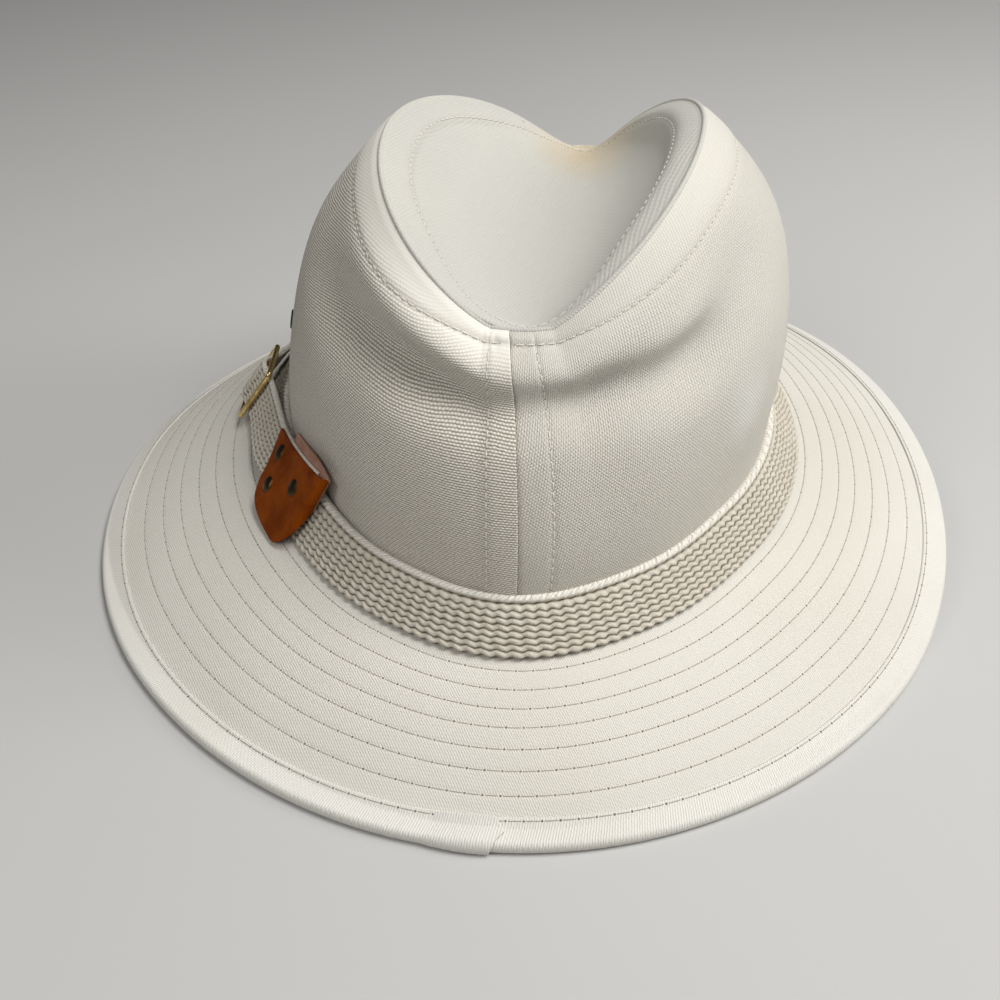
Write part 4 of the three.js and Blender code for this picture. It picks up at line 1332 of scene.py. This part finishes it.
@dataclass
class Webbing:
    """Chunky cotton webbing: wavy cords side by side, and a rope-like top selvedge."""

    width: float = 17.2
    thickness: float = 1.1
    selvedge: float = 2.2
    cords: int = 8
    wave: float = 3.45
    swing: float = 0.32
    cord_height: float = 1.0
    roll_height: float = 1.5
    cord_rows: int = 7
    edge_rows: int = 3
    inner_rows: int = 4

    def pitch(self) -> float:
        """Distance from one cord to the next."""
        return (self.width - self.selvedge) / self.cords

    def outer_lines(self) -> Array:
        """Places across the outside of the grid lines, closer together in the gaps between the cords."""
        ease_in = 0.5 - 0.5 * np.cos(np.pi * np.arange(self.cord_rows) / self.cord_rows)
        cords = [self.selvedge + (cord + ease_in) * self.pitch() for cord in range(self.cords)]
        return np.concatenate([ease_in * self.selvedge, *cords, [self.width]])

    def rows(self) -> int:
        """Number of faces round a section."""
        return len(self.outer_lines()) - 1 + self.inner_rows + 2 * self.edge_rows

    def flat(self, length: Array, v: Array) -> Array:
        """Places along and across the webbing, for its finish."""
        lines = self.outer_lines()[::-1]
        places = np.concatenate([
            lines, np.zeros(self.edge_rows), np.linspace(0.0, self.width, self.inner_rows + 1)[1:],
            np.full(self.edge_rows, self.width)])
        across = np.interp(v * self.rows(), np.arange(len(places)), places)
        uneven = 0.55 * np.sin(across * 0.9 + length * 0.1) + 0.4 * np.sin(across * 2.3 - length * 0.17)
        return np.stack([length + uneven * self.wave / math.tau, across], axis=-1)

    def section(self, length: Array, v: Array) -> tuple[Array, Array]:
        """Place on a section of the webbing.

        Args:
            length: Distance along the webbing, in millimetres.
            v: Share round the section: up the outside, over the top, down the inside and round the bottom.

        Returns:
            Distance across from the top edge, and height off the inside.
        """
        along, across = self.flat(length, v).T
        outer, total = len(self.outer_lines()) - 1, self.rows()
        marks = np.cumsum([0, outer, self.edge_rows, self.inner_rows, self.edge_rows])
        outside = np.interp(v * total, marks, (1.0, 1.0, 0.0, 0.0, 1.0))
        phase = along * math.tau / self.wave
        cord = np.clip((across - self.selvedge) / self.pitch(), 0.0, self.cords)
        middle = 2.0 * (cord - np.floor(np.minimum(cord, self.cords - 1e-6))) - 1.0
        profile = np.maximum(0.0, 1.0 - np.abs(middle) ** 2.2) ** 0.6
        lumps = (0.78 + 0.32 * np.cos(phase)) * (1.0 + 0.1 * np.sin(length * 0.83 + across * 1.9))
        roll = np.maximum(0.0, 1.0 - (2.0 * across / self.selvedge - 1.0) ** 2) ** 0.5
        twist = 0.86 + 0.28 * np.sin(length * math.tau / 2.2 + across * 1.6)
        height = np.where(across < self.selvedge, self.roll_height * roll * twist, self.cord_height * profile * lumps)
        swing = self.swing * ease(self.selvedge * 0.6, self.selvedge + self.pitch(), across)
        return across + swing * np.sin(phase - 0.4 * np.sin(phase)), outside * (self.thickness + height)


@dataclass
class Band:
    """Webbing band round the crown, flaring out over the brim."""

    shape: HatShape
    finishes: Finishes
    webbing: Webbing = field(default_factory=Webbing)
    columns: int = 1290
    top: float = 3.3
    lean: float = 40.0
    stand: float = 0.6
    hug: float = 1.1
    hug_reach: float = 5.0
    join_angle: float = 215.0

    def build(self) -> None:
        """Makes the band, whose top edge is drawn in against the crown."""
        shape, lean, webbing = self.shape, math.radians(self.lean), self.webbing
        around = shape.round_length(np.array(360.0))
        waves = round(around / webbing.wave)

        def angle_at(u: Array) -> Array:
            """Angle round the crown, from the join of the band under the tab."""
            return self.join_angle + np.mod(u, 1.0) * 360.0

        def length_at(u: Array) -> Array:
            """Length along the band, in whole waves round the crown."""
            length = shape.round_length(angle_at(u)) - shape.round_length(np.array(self.join_angle))
            return length * waves * webbing.wave / around

        def place(u: Array, v: Array) -> Array:
            """Points on the skin of the band."""
            across, height = webbing.section(length_at(u), v)
            stand = self.stand - self.hug * (1.0 - ease(0.0, self.hug_reach, across))
            outwards = stand + across * math.sin(lean) + height * math.cos(lean)
            return shape.to_hat(shape.around_base(
                angle_at(u), outwards, self.top - across * math.cos(lean) + height * math.sin(lean)))

        def flat(u: Array, v: Array) -> Array:
            """Places along and across the webbing."""
            return webbing.flat(np.where(u > 0.9999, waves * webbing.wave, length_at(u)), v)

        mesh = grid_mesh(self.columns, webbing.rows(), place, flat, weld=True)
        bmesh.ops.recalc_face_normals(mesh, faces=mesh.faces)
        make_piece("webbing_band", mesh, self.finishes.webbing, Slot.WEBBING, ("hat_band",))


@dataclass
class Trim:
    """Loose end of the webbing, woven through a brass slide into a riveted leather tab."""

    shape: HatShape
    finishes: Finishes
    webbing: Webbing = field(default_factory=lambda: Webbing(thickness=0.8, cord_height=0.75, roll_height=0.7))
    band_top: float = 3.3
    band_lean: float = 43.7
    band_stand: float = 0.6
    band_thickness: float = 1.8
    gap: float = 0.3
    tail: float = 1.5
    leather: float = 1.2
    columns: int = 330
    start: float = 148.0
    leaves: float = 155.0
    slide_angle: float = 177.0
    slide_lean: float = 36.0
    slide_stand: float = 7.0
    slide_length: float = 21.0
    slide_reach: float = 24.0
    slide_overhang: float = 2.3
    slide_bar: float = 2.2
    slide_thick: float = 1.8
    tail_edges: tuple[float, float] = (0.4, 18.6)
    tail_sink: float = 0.8
    tab_length: float = 43.0
    tab_peep: float = 1.6
    tab_middle: float = 17.0
    tab_columns: int = 110
    tab_rows: int = 44
    front_share: float = 0.6
    fold_share: float = 0.14
    inner_length: float = 33.0
    inner_bottom: float = 3.0
    inner_rise: float = 3.3
    inner_bend: float = 0.7
    tab_angle: tuple[float, float] = (202.0, 228.0)
    tab_reach: tuple[float, float] = (3.2, 1.9)
    tab_height: tuple[float, float] = (5.9, 12.4)
    tab_lean: tuple[float, float] = (43.0, 31.0)
    tab_far: Table = Table(
        (-0.9, 3.8, 7.5, 11.8, 15.5, 21.6, 24.1, 25.8, 27.6), (3.4, 7.4, 9.9, 11.9, 12.8, 16.5, 21.1, 27.0, 36.0))
    tab_fold: Table = Table((-0.9, 7.0, 15.5, 21.6, 25.2, 27.6), (47.2, 46.0, 44.9, 43.9, 42.2, 40.0))
    rivets: tuple[tuple[float, float], ...] = ((14.6, 4.2), (19.6, 14.9), (34.2, 8.3))
    rivet_sides: int = 28
    rivet_profile: tuple[tuple[float, float], ...] = (
        (0.0, 0.9), (1.1, 0.82), (2.0, 0.58), (2.6, 0.28), (2.85, 0.0), (2.75, -0.25), (1.1, -0.3), (1.1, -1.6),
        (0.0, -1.6))

    def layer(self) -> float:
        """Distance from the middle of the webbing to the middle of a leather layer."""
        return self.tail / 2.0 + self.gap + self.leather / 2.0

    def on_band(self, angle: Array, lean: float, stand: float, along: float, across: Array) -> Array:
        """A place on axes that stand on the outside of the band."""
        lift = math.radians(self.band_lean)
        angle = np.asarray(angle, float)
        origin = self.shape.around_base(
            angle, np.asarray(self.band_stand + self.band_thickness * math.cos(lift)),
            self.band_top + self.band_thickness * math.sin(lift))
        axes = self.shape.trim_axes(angle, np.asarray(lean))
        return origin + axes[0] * along + axes[1] * np.asarray(across)[..., None] + axes[2] * stand

    def on_tab(self, along: Array, across: Array, stand: Array) -> Array:
        """A place on the tab, which bends round the crown and twists from one end to the other."""
        along, across, stand = np.broadcast_arrays(*(np.asarray(value, float) for value in (along, across, stand)))
        share = along / self.tab_length
        angle, reach = mix(*self.tab_angle, share), mix(*self.tab_reach, share)
        origin = self.shape.around_base(angle, reach, mix(*self.tab_height, share))
        _, down, out = self.shape.trim_axes(angle, mix(*self.tab_lean, share))
        return origin + down * across[..., None] + out * stand[..., None]

    def tail_edge(self, across: float) -> Array:
        """Close points along one edge of the loose webbing, in millimetres."""
        lift = 2 * self.gap + self.tail / 2.0
        strap = self.slide_thick / 2.0 + 2.5 * self.gap + self.tail / 2.0
        bars = self.slide_length / 2.0 - self.slide_bar / 2.0
        stations = [self.on_band(a, self.band_lean, lift, 0.0, across) for a in (self.start, self.leaves)]
        for along, stand in ((-bars, -strap), (0.0, strap), (bars, -strap)):
            stations.append(self.on_band(
                self.slide_angle, self.slide_lean, self.slide_stand + stand, along, across))
        risen = across - self.tab_peep
        stations += [self.on_tab(along, risen, 0.0) for along in np.arange(-4.0, 31.1, 7.0)]
        stations.append(self.on_tab(self.tab_length - self.layer() - self.leather, risen, 0.0))
        return smooth_line(np.array([point.reshape(3) for point in stations]), 240)

    def build_tail(self) -> None:
        """Makes the loose webbing."""
        edges = [self.tail_edge(across) for across in self.tail_edges]
        lengths = np.concatenate([[0.0], np.cumsum(np.linalg.norm(np.diff(sum(edges) / 2.0, axis=0), axis=1))])
        down = unit(edges[1] - edges[0])
        out = unit(np.cross(down, np.gradient(edges[0], axis=0)))
        webbing = self.webbing

        def place(u: Array, v: Array) -> Array:
            """Points on the skin of the webbing."""
            length = np.clip(u, 0.0, 1.0) * lengths[-1]
            across, height = webbing.section(length, v)
            read = [
                np.stack([np.interp(length, lengths, rows[:, axis]) for axis in range(3)], axis=-1)
                for rows in (edges[0], down, out)
            ]
            stand = height - webbing.thickness * self.tail_sink
            return self.shape.to_hat(read[0] + read[1] * across[:, None] + read[2] * stand[:, None])

        def flat(u: Array, v: Array) -> Array:
            """Places along and across the webbing."""
            return webbing.flat(u * lengths[-1], v)

        mesh = grid_mesh(self.columns, webbing.rows(), place, flat, weld=True)
        bmesh.ops.holes_fill(mesh, edges=mesh.edges, sides=webbing.rows() + 1)
        bmesh.ops.recalc_face_normals(mesh, faces=mesh.faces)
        make_piece("webbing_tail", mesh, self.finishes.webbing, Slot.WEBBING, ("band_tail",))

    def build_slide(self) -> None:
        """Makes the brass slide: a frame with a bar across its middle."""
        half, bar = self.slide_length / 2.0, self.slide_bar
        top, bottom = -self.slide_overhang, self.slide_reach - self.slide_overhang
        x_cuts = (top, top + bar, bottom - bar, bottom)
        y_cuts = (-half, -half + bar, -bar / 2.0, bar / 2.0, half - bar, half)
        mesh = bmesh.new()
        bmesh.ops.create_grid(mesh, x_segments=len(x_cuts) - 1, y_segments=len(y_cuts) - 1, size=1.0)
        for vert in mesh.verts:
            column = round((vert.co.x + 1.0) / 2.0 * (len(x_cuts) - 1))
            row = round((vert.co.y + 1.0) / 2.0 * (len(y_cuts) - 1))
            vert.co = (x_cuts[column] * METRES, y_cuts[row] * METRES, -self.slide_thick / 2.0 * METRES)
        middle = [f for f in mesh.faces if x_cuts[1] < f.calc_center_median().x / METRES < x_cuts[2]]
        windows = [
            f for f in middle
            if any(lo < f.calc_center_median().y / METRES < hi for lo, hi in (y_cuts[1:3], y_cuts[3:5]))
        ]
        bmesh.ops.delete(mesh, geom=windows, context="FACES")
        lifted = bmesh.ops.extrude_face_region(mesh, geom=list(mesh.faces))["geom"]
        verts = [item for item in lifted if isinstance(item, bmesh.types.BMVert)]
        bmesh.ops.translate(mesh, verts=verts, vec=(0, 0, self.slide_thick * METRES))
        bmesh.ops.recalc_face_normals(mesh, faces=mesh.faces)
        corners = [
            e for e in mesh.edges
            if e.calc_length() > 0 and abs(e.verts[0].co.z - e.verts[1].co.z) > 1e-6
            and all(abs(abs(v.co.y) - half * METRES) < 1e-6 for v in e.verts)
            and all(min(abs(v.co.x - top * METRES), abs(v.co.x - bottom * METRES)) < 1e-6 for v in e.verts)
        ]
        bmesh.ops.bevel(
            mesh, geom=corners, offset=1.8 * METRES, offset_type="OFFSET", affect="EDGES", segments=4, profile=0.5,
            material=-1)
        sharp = [e for e in mesh.edges if e.is_manifold and e.calc_face_angle() > math.radians(60)]
        bmesh.ops.bevel(
            mesh, geom=sharp, offset=0.7 * METRES, offset_type="OFFSET", affect="EDGES", segments=3, profile=0.5,
            material=-1)
        angle = np.asarray(self.slide_angle)
        axes = self.shape.trim_axes(angle, np.asarray(self.slide_lean))
        origin = self.on_band(angle, self.slide_lean, self.slide_stand, 0.0, 0.0)
        zero = self.shape.to_hat(np.zeros(3))
        columns = [self.shape.to_hat(axis) - zero for axis in (axes[1], axes[0], axes[2])]
        turn = Matrix(np.stack(columns, axis=1).tolist()).to_4x4()
        place = Matrix.Translation(Vector(self.shape.to_hat(origin) * METRES)) @ turn
        bmesh.ops.transform(mesh, matrix=place, verts=mesh.verts)
        bmesh.ops.recalc_face_normals(mesh, faces=mesh.faces)
        make_piece("brass_slide", mesh, self.finishes.brass, Slot.BRASS, ("buckle",))

    def build_tab(self) -> None:
        """Makes the leather tab: its front layer, the fold at the near end and the narrower inner layer."""
        layer = self.layer()
        top, bottom = self.tab_far.keys[0], self.tab_far.keys[-1]
        down = Spacing((0.0, 0.55, 1.0), (top, self.tab_middle, bottom))

        def place(u: Array, v: Array) -> Array:
            """Points in the middle of the leather."""
            u = np.clip(u, 0.0, 1.0)
            front = np.clip(u / self.front_share, 0.0, 1.0)
            behind = np.clip((u - self.front_share) / self.fold_share, 0.0, 1.0)
            past = self.front_share + self.fold_share
            back = np.clip((u - past) / (1.0 - past), 0.0, 1.0)
            outer = down.at(1.0 - v)
            above = np.sin(np.pi * np.minimum(0.5, back))
            inner = mix(top - self.inner_rise * above, self.inner_bottom, 1.0 - v)
            across = mix(outer, inner, behind)
            fold = self.tab_fold.at(np.maximum(across, top)) - layer - self.leather / 2.0
            along = mix(self.tab_far.at(outer), fold, front) - back * self.inner_length
            turn = behind * math.pi
            stand = layer * np.cos(turn) + behind * self.inner_bend * ease(top, top - self.inner_rise, across)
            return self.shape.to_hat(self.on_tab(along + layer * np.sin(turn), across, stand))

        def flat(u: Array, v: Array) -> Array:
            """Shares of the leather along and across."""
            return np.stack([u, v], axis=-1)

        mesh = grid_mesh(self.tab_columns, self.tab_rows, place, flat)
        layers = mesh.loops.layers.uv[CLOTH_UV]
        middle = self.front_share + 0.6 * self.fold_share
        for face in mesh.faces:
            face.material_index = int(face.loops[0][layers].uv.x > middle)
        bmesh.ops.recalc_face_normals(mesh, faces=mesh.faces)
        piece = make_piece("tab_leather", mesh, self.finishes.leather, Slot.LEATHER, ("leather_tab",))
        piece.data.materials.append(self.finishes.inner_leather)
        thicken(piece, self.leather, 0.0)
        round_edges(piece, 0.4, 2)

    def build_rivets(self) -> None:
        """Makes the domed heads of the rivets."""
        seat = self.layer() + self.leather / 2.0
        for number, (along, across) in enumerate(self.rivets, start=1):
            foot, head = (self.shape.to_hat(self.on_tab(along, across, stand)) for stand in (0.0, seat))
            mesh = turned_mesh(self.rivet_profile, self.rivet_sides, head, unit(head - foot))
            make_piece(f"rivet_head_{number}", mesh, self.finishes.dark_brass, Slot.DARK_BRASS, (f"rivet_{number}",))

    def build(self) -> None:
        """Makes every piece of the trim."""
        self.build_tail()
        self.build_slide()
        self.build_tab()
        self.build_rivets()


def smooth_line(stations: Array, count: int) -> Array:
    """Points on a smooth line through stations.

    Args:
        stations: Points that the line passes through.
        count: Number of points to give, both ends included.

    Returns:
        The points, evenly shared between the stations.
    """
    first, last = 2 * stations[0] - stations[1], 2 * stations[-1] - stations[-2]
    points = np.concatenate([[first], stations, [last]])
    place = np.linspace(0.0, len(stations) - 1.0, count)
    row = np.minimum(place.astype(int), len(stations) - 2)
    t = (place - row)[:, None]
    p0, p1, p2, p3 = (points[row + step] for step in range(4))
    d0, d1, d2 = (np.sqrt(np.linalg.norm(b - a, axis=1, keepdims=True)) for a, b in ((p0, p1), (p1, p2), (p2, p3)))
    start = ((p1 - p0) / d0 - (p2 - p0) / (d0 + d1) + (p2 - p1) / d1) * d1
    end = ((p2 - p1) / d1 - (p3 - p1) / (d1 + d2) + (p3 - p2) / d2) * d1
    curve = (2 * t**3 - 3 * t**2 + 1) * p1 + (t**3 - 2 * t**2 + t) * start
    return curve + (3 * t**2 - 2 * t**3) * p2 + (t**3 - t**2) * end


@dataclass
class Vents:
    """Small metal eyelets in the sides of the crown."""

    shape: HatShape
    finishes: Finishes
    height: float = 33.0
    cloth: float = 1.5
    sides: int = 24
    places: tuple[tuple[str, float], ...] = (
        ("left_front", 175.5), ("left_back", 185.0), ("right_front", 3.5), ("right_back", -6.5))

    def build(self) -> None:
        """Makes each eyelet as one turned ring through the cloth."""
        shape = self.shape
        inside = -self.cloth
        profile = (
            (1.6, 0.05), (1.75, 0.25), (2.2, 0.38), (2.8, 0.36), (3.2, 0.2), (3.4, -0.1), (2.3, -0.15),
            (2.3, inside - 0.2), (3.5, inside - 0.3), (3.3, inside - 0.8), (1.7, inside - 0.8), (1.6, 0.05))
        for name, angle in self.places:
            share = (self.height + shape.drop) / (shape.rim_height(np.array(angle)) + shape.drop)
            wall: Surface = lambda u, v: shape.to_hat(shape.wall(angle + u, share + v))
            place = wall(np.array([0.0]), np.array([0.0]))[0]
            round_step = wall(np.array([0.1]), np.array([0.0]))[0] - place
            up_step = wall(np.array([0.0]), np.array([0.005]))[0] - place
            mesh = turned_mesh(profile, self.sides, place, unit(np.cross(round_step, up_step)))
            make_piece(f"vent_{name}", mesh, self.finishes.dark_brass, Slot.DARK_BRASS, (f"eyelet_{name}",))


@dataclass
class Brim:
    """Stitched brim with a bound edge."""

    shape: HatShape
    finishes: Finishes
    columns: int = 420
    row_shares: tuple[float, ...] = (0.2507, 0.3444, 0.4346, 0.5208, 0.6156, 0.7058, 0.8036)
    stitch: float = 4.9
    groove: float = 0.16
    groove_width: float = 0.7
    groove_lines: tuple[float, ...] = (-2.2, -1.2, -0.6, 0.0, 0.6, 1.2, 2.2)
    ripple: float = 0.3
    leg: float = 7.5
    leg_run: float = 0.4
    tape_skin: float = 0.6
    tape_top: float = 0.7
    tape_step: float = 0.5
    tape_rows: int = 44
    tape_stitch: float = 1.3
    join_angle: float = 270.1
    join_runs: tuple[float, ...] = (0.47, 0.78, 1.0)
    join_ends: tuple[float, ...] = (-4.4, 0.0, -3.2)
    join_length: float = 24.0
    join_lift: float = 0.85
    join_sink: float = 0.3
    join_skin: float = 0.45
    join_grid: tuple[int, int] = (48, 40)

    def spacing(self) -> Spacing:
        """Shares of the grid lines from the edge to under the crown, closer together at the stitched rows."""
        width = float(self.width(np.array(270.0)))
        near = [row + line / width for row in self.row_shares for line in self.groove_lines]
        gaps = zip((0.0, *self.row_shares), (*self.row_shares, 1.0))
        between = [share for low, high in gaps for share in np.linspace(low, high, 7)[1:-1]]
        lines = np.unique(np.round(np.clip([0.0, 0.02, *near, *between, 1.0], 0.0, 1.0), 4))[::-1]
        return Spacing(tuple(np.linspace(0.0, 1.0, len(lines))), tuple(lines))

    def surface(self) -> Surface:
        """Top of the brim with its stitched grooves."""
        shape, spacing = self.shape, self.spacing()

        def plain(u: Array, v: Array) -> Array:
            """Plain top of the brim."""
            return shape.brim(u * 360.0, np.clip(spacing.at(v), 0.0, 1.0))

        def relief(u: Array, v: Array) -> Array:
            """Grooves along the rows of stitches, and slight unevenness."""
            share = spacing.at(v)
            width = self.width(u * 360.0)
            height = soft_ripple(plain(u, v), self.ripple) * ease(0.2, 0.4, share) * (1.0 - ease(0.8, 0.93, share))
            for row in self.row_shares:
                height = height - self.groove * bump((share - row) * width, self.groove_width)
            return height

        return raised(plain, relief)

    def width(self, angle: Array) -> Array:
        """Length of cloth for one whole share of the brim, in millimetres."""
        inner, outer = self.shape.brim(angle, 0.3), self.shape.brim(angle, 0.999)
        return np.linalg.norm(outer - inner, axis=-1) / 0.7

    def tape_point(self, angle: Array, run: Array, lift: Array = 0.0) -> Array:
        """Outside of the bound edge.

        Args:
            angle: Place round the brim, in degrees.
            run: Share from the inner edge under the brim (0) over the edge to the inner edge on top (1).
            lift: Height off the tape, in millimetres.

        Returns:
            Points in millimetres.
        """
        shape = self.shape
        full = shape.tape + shape.tape_gap
        leg_share = self.leg / self.width(angle)
        run = np.clip(run, 0.0, 1.0)
        leg, bend = self.leg_run, 1.0 - 2.0 * self.leg_run
        under, over = np.clip(run / leg, 0.0, 1.0), np.clip((run - leg - bend) / leg, 0.0, 1.0)
        turn = np.clip((run - leg) / bend, 0.0, 1.0) * math.pi
        share = 1.0 - leg_share * np.where(run < 0.5, 1.0 - under, over)
        low, high = -shape.brim_cloth - full - lift, self.tape_top + lift
        height = mix(low, high, 0.5 - 0.5 * np.cos(turn)) - self.tape_step * ease(0.93, 1.0, over)
        point = shape.brim(angle, share)
        direction, out = np.radians(angle), (full + lift) * np.sin(turn)
        return point + stack(out * np.cos(direction), out * np.sin(direction), height)

    def tape(self, u: Array, v: Array) -> Array:
        """Points of the binding, by shares round the brim and over its edge."""
        return self.tape_point(u * 360.0, v)

    def build_binding(self) -> None:
        """Makes the tape round the edge, and its folded end that laps over at the back."""
        around = self.shape.edge_reach.at(np.array(270.0)) * math.tau

        def tape_cloth(u: Array, v: Array) -> Array:
            """Flat places on the tape."""
            return np.stack([u * around, v * 2.4 * self.leg], axis=-1)

        mesh = grid_mesh(self.columns, self.tape_rows, self.tape, tape_cloth, weld=True)
        piece = make_piece("edge_binding", mesh, self.finishes.tape, Slot.COTTON, ("brim_binding",))
        thicken(piece, self.shape.tape * self.tape_skin)
        declare_sheet(piece)
        degree = around / 360.0

        def join_place(u: Array, v: Array) -> tuple[Array, Array]:
            """Angle and run of a place on the lapped end, whose edge is folded to a point."""
            run = mix(self.join_runs[0], 0.995, v)
            point = straight(run, self.join_runs, self.join_ends)
            return self.join_angle + (point - (1.0 - u) * self.join_length) / degree, run

        def join(u: Array, v: Array) -> Array:
            """Points of the lapped end, which runs out into the tape away from its folded point."""
            angle, run = join_place(u, v)
            lift = self.join_lift * ease(0.0, 0.8, u) - self.join_sink * (1.0 - ease(0.0, 0.4, u))
            return self.tape_point(angle, run, lift)

        def join_cloth(u: Array, v: Array) -> Array:
            """Flat places on the lapped end."""
            angle, run = join_place(u, v)
            return tape_cloth(angle / 360.0, run)

        mesh = grid_mesh(*self.join_grid, join, join_cloth)
        piece = make_piece("binding_join", mesh, self.finishes.tape, Slot.COTTON)
        thicken(piece, self.join_skin)

    def build(self) -> None:
        """Makes the brim, its binding and their stitching."""
        finishes, surface, spacing = self.finishes, self.surface(), self.spacing()
        mesh = grid_mesh(
            self.columns, len(spacing.shares) - 1, surface, lambda u, v: surface(u, v)[:, :2], weld=True)
        piece = make_piece("brim_cloth", mesh, finishes.brim, Slot.COTTON, ("brim",))
        thicken(piece, self.shape.brim_cloth)
        declare_sheet(piece)
        self.build_binding()
        stitching = Stitching("brim", finishes.brim_thread, finishes.hole, radius=0.15, rise=0.02, hole_radius=0.45)
        u = np.linspace(0.0, 1.0, 721)
        for share in self.row_shares:
            v = np.full_like(u, spacing.share(share))
            stitching.rows.append(stitch_row(surface, u, v, self.stitch, closed=True))
        v = np.full_like(u, 1.0 - self.leg_run * self.tape_stitch / self.leg)
        stitching.rows.append(stitch_row(self.tape, u, v, self.stitch, closed=True))
        stitching.build()


@dataclass(frozen=True)
class Lamp:
    """One soft light that shines on the hat: its place in metres, its power in watts and its colour."""

    name: str
    place: tuple[float, float, float]
    power: float
    colour: Colour


@dataclass(frozen=True)
class Studio:
    """Plain pale floor, soft light and the camera."""

    camera: tuple[float, float, float] = (9.6, -342.3, 259.1)
    right: tuple[float, float, float] = (0.9989, 0.0465, -0.0045)
    up: tuple[float, float, float] = (-0.0247, 0.6073, 0.7941)
    lens: float = 41.4
    floor_size: float = 6.0
    lamp_size: float = 0.6
    aim: tuple[float, float, float] = (0.0, 0.0, 0.06)
    world_colour: Colour = (0.96, 0.975, 1.0)
    world_strength: float = 0.04
    lamps: tuple[Lamp, ...] = (
        Lamp("window_high", (0.49, 0.0, 1.27), 9.8, (1.0, 0.99, 0.97)),
        Lamp("window_low", (1.13, 0.0, 0.71), 6.6, (1.0, 0.99, 0.97)),
        Lamp("front_fill", (0.56, -0.33, 1.19), 5.2, (1.0, 0.985, 0.96)),
        Lamp("near_fill", (-0.17, -0.98, 0.9), 1.5, (1.0, 0.985, 0.96)),
        Lamp("side_fill", (-0.76, -0.64, 0.9), 3.0, (1.0, 0.985, 0.965)),
    )

    def light(self, lamp: Lamp) -> None:
        """Adds one light, turned towards the hat."""
        data = bpy.data.lights.new(lamp.name, "AREA")
        data.energy, data.size, data.color = lamp.power, self.lamp_size, lamp.colour
        light = bpy.data.objects.new(lamp.name, data)
        light.location = lamp.place
        light.rotation_euler = (Vector(self.aim) - Vector(lamp.place)).to_track_quat("-Z", "Y").to_euler()
        bpy.context.scene.collection.objects.link(light)

    def build(self) -> None:
        """Makes the floor, the lights and the camera."""
        mesh = bmesh.new()
        bmesh.ops.create_grid(mesh, x_segments=1, y_segments=1, size=self.floor_size / 2.0)
        data = bpy.data.meshes.new("floor")
        mesh.to_mesh(data)
        mesh.free()
        material, bench, shader = new_material("floor")
        place = bench.place()
        tone = bench.blend(bench.noise(place, 3.0), (0.50, 0.50, 0.495), (0.54, 0.535, 0.525))
        bench.join(tone, shader, "Base Color")
        shader.inputs["Roughness"].default_value = 0.8
        data.materials.append(material)
        floor = bpy.data.objects.new("floor", data)
        bpy.context.scene.collection.objects.link(floor)
        world = bpy.data.worlds.new("studio")
        world.use_nodes = True
        background = world.node_tree.nodes["Background"]
        background.inputs["Color"].default_value = (*self.world_colour, 1.0)
        background.inputs["Strength"].default_value = self.world_strength
        bpy.context.scene.world = world
        for lamp in self.lamps:
            self.light(lamp)
        bpy.context.scene.view_settings.view_transform = "Standard"
        lens = bpy.data.cameras.new("camera")
        lens.lens, lens.sensor_width = self.lens, 36.0
        lens.clip_start = 0.01
        camera = bpy.data.objects.new("camera", lens)
        right, up = Vector(self.right).normalized(), Vector(self.up).normalized()
        back = right.cross(up).normalized()
        turn = Matrix((right, back.cross(right), back)).transposed().to_4x4()
        camera.matrix_world = Matrix.Translation(Vector(self.camera) * METRES) @ turn
        bpy.context.scene.collection.objects.link(camera)
        bpy.context.scene.camera = camera


def main() -> None:
    """Builds the hat and its studio."""
    logging.basicConfig(level=logging.INFO, format="%(message)s")
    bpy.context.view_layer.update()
    shape, finishes = HatShape(), Finishes()
    Studio().build()
    Crown(shape, finishes).build()
    Band(shape, finishes).build()
    Trim(shape, finishes).build()
    Vents(shape, finishes).build()
    Brim(shape, finishes).build()


if __name__ == "__main__":
    main()
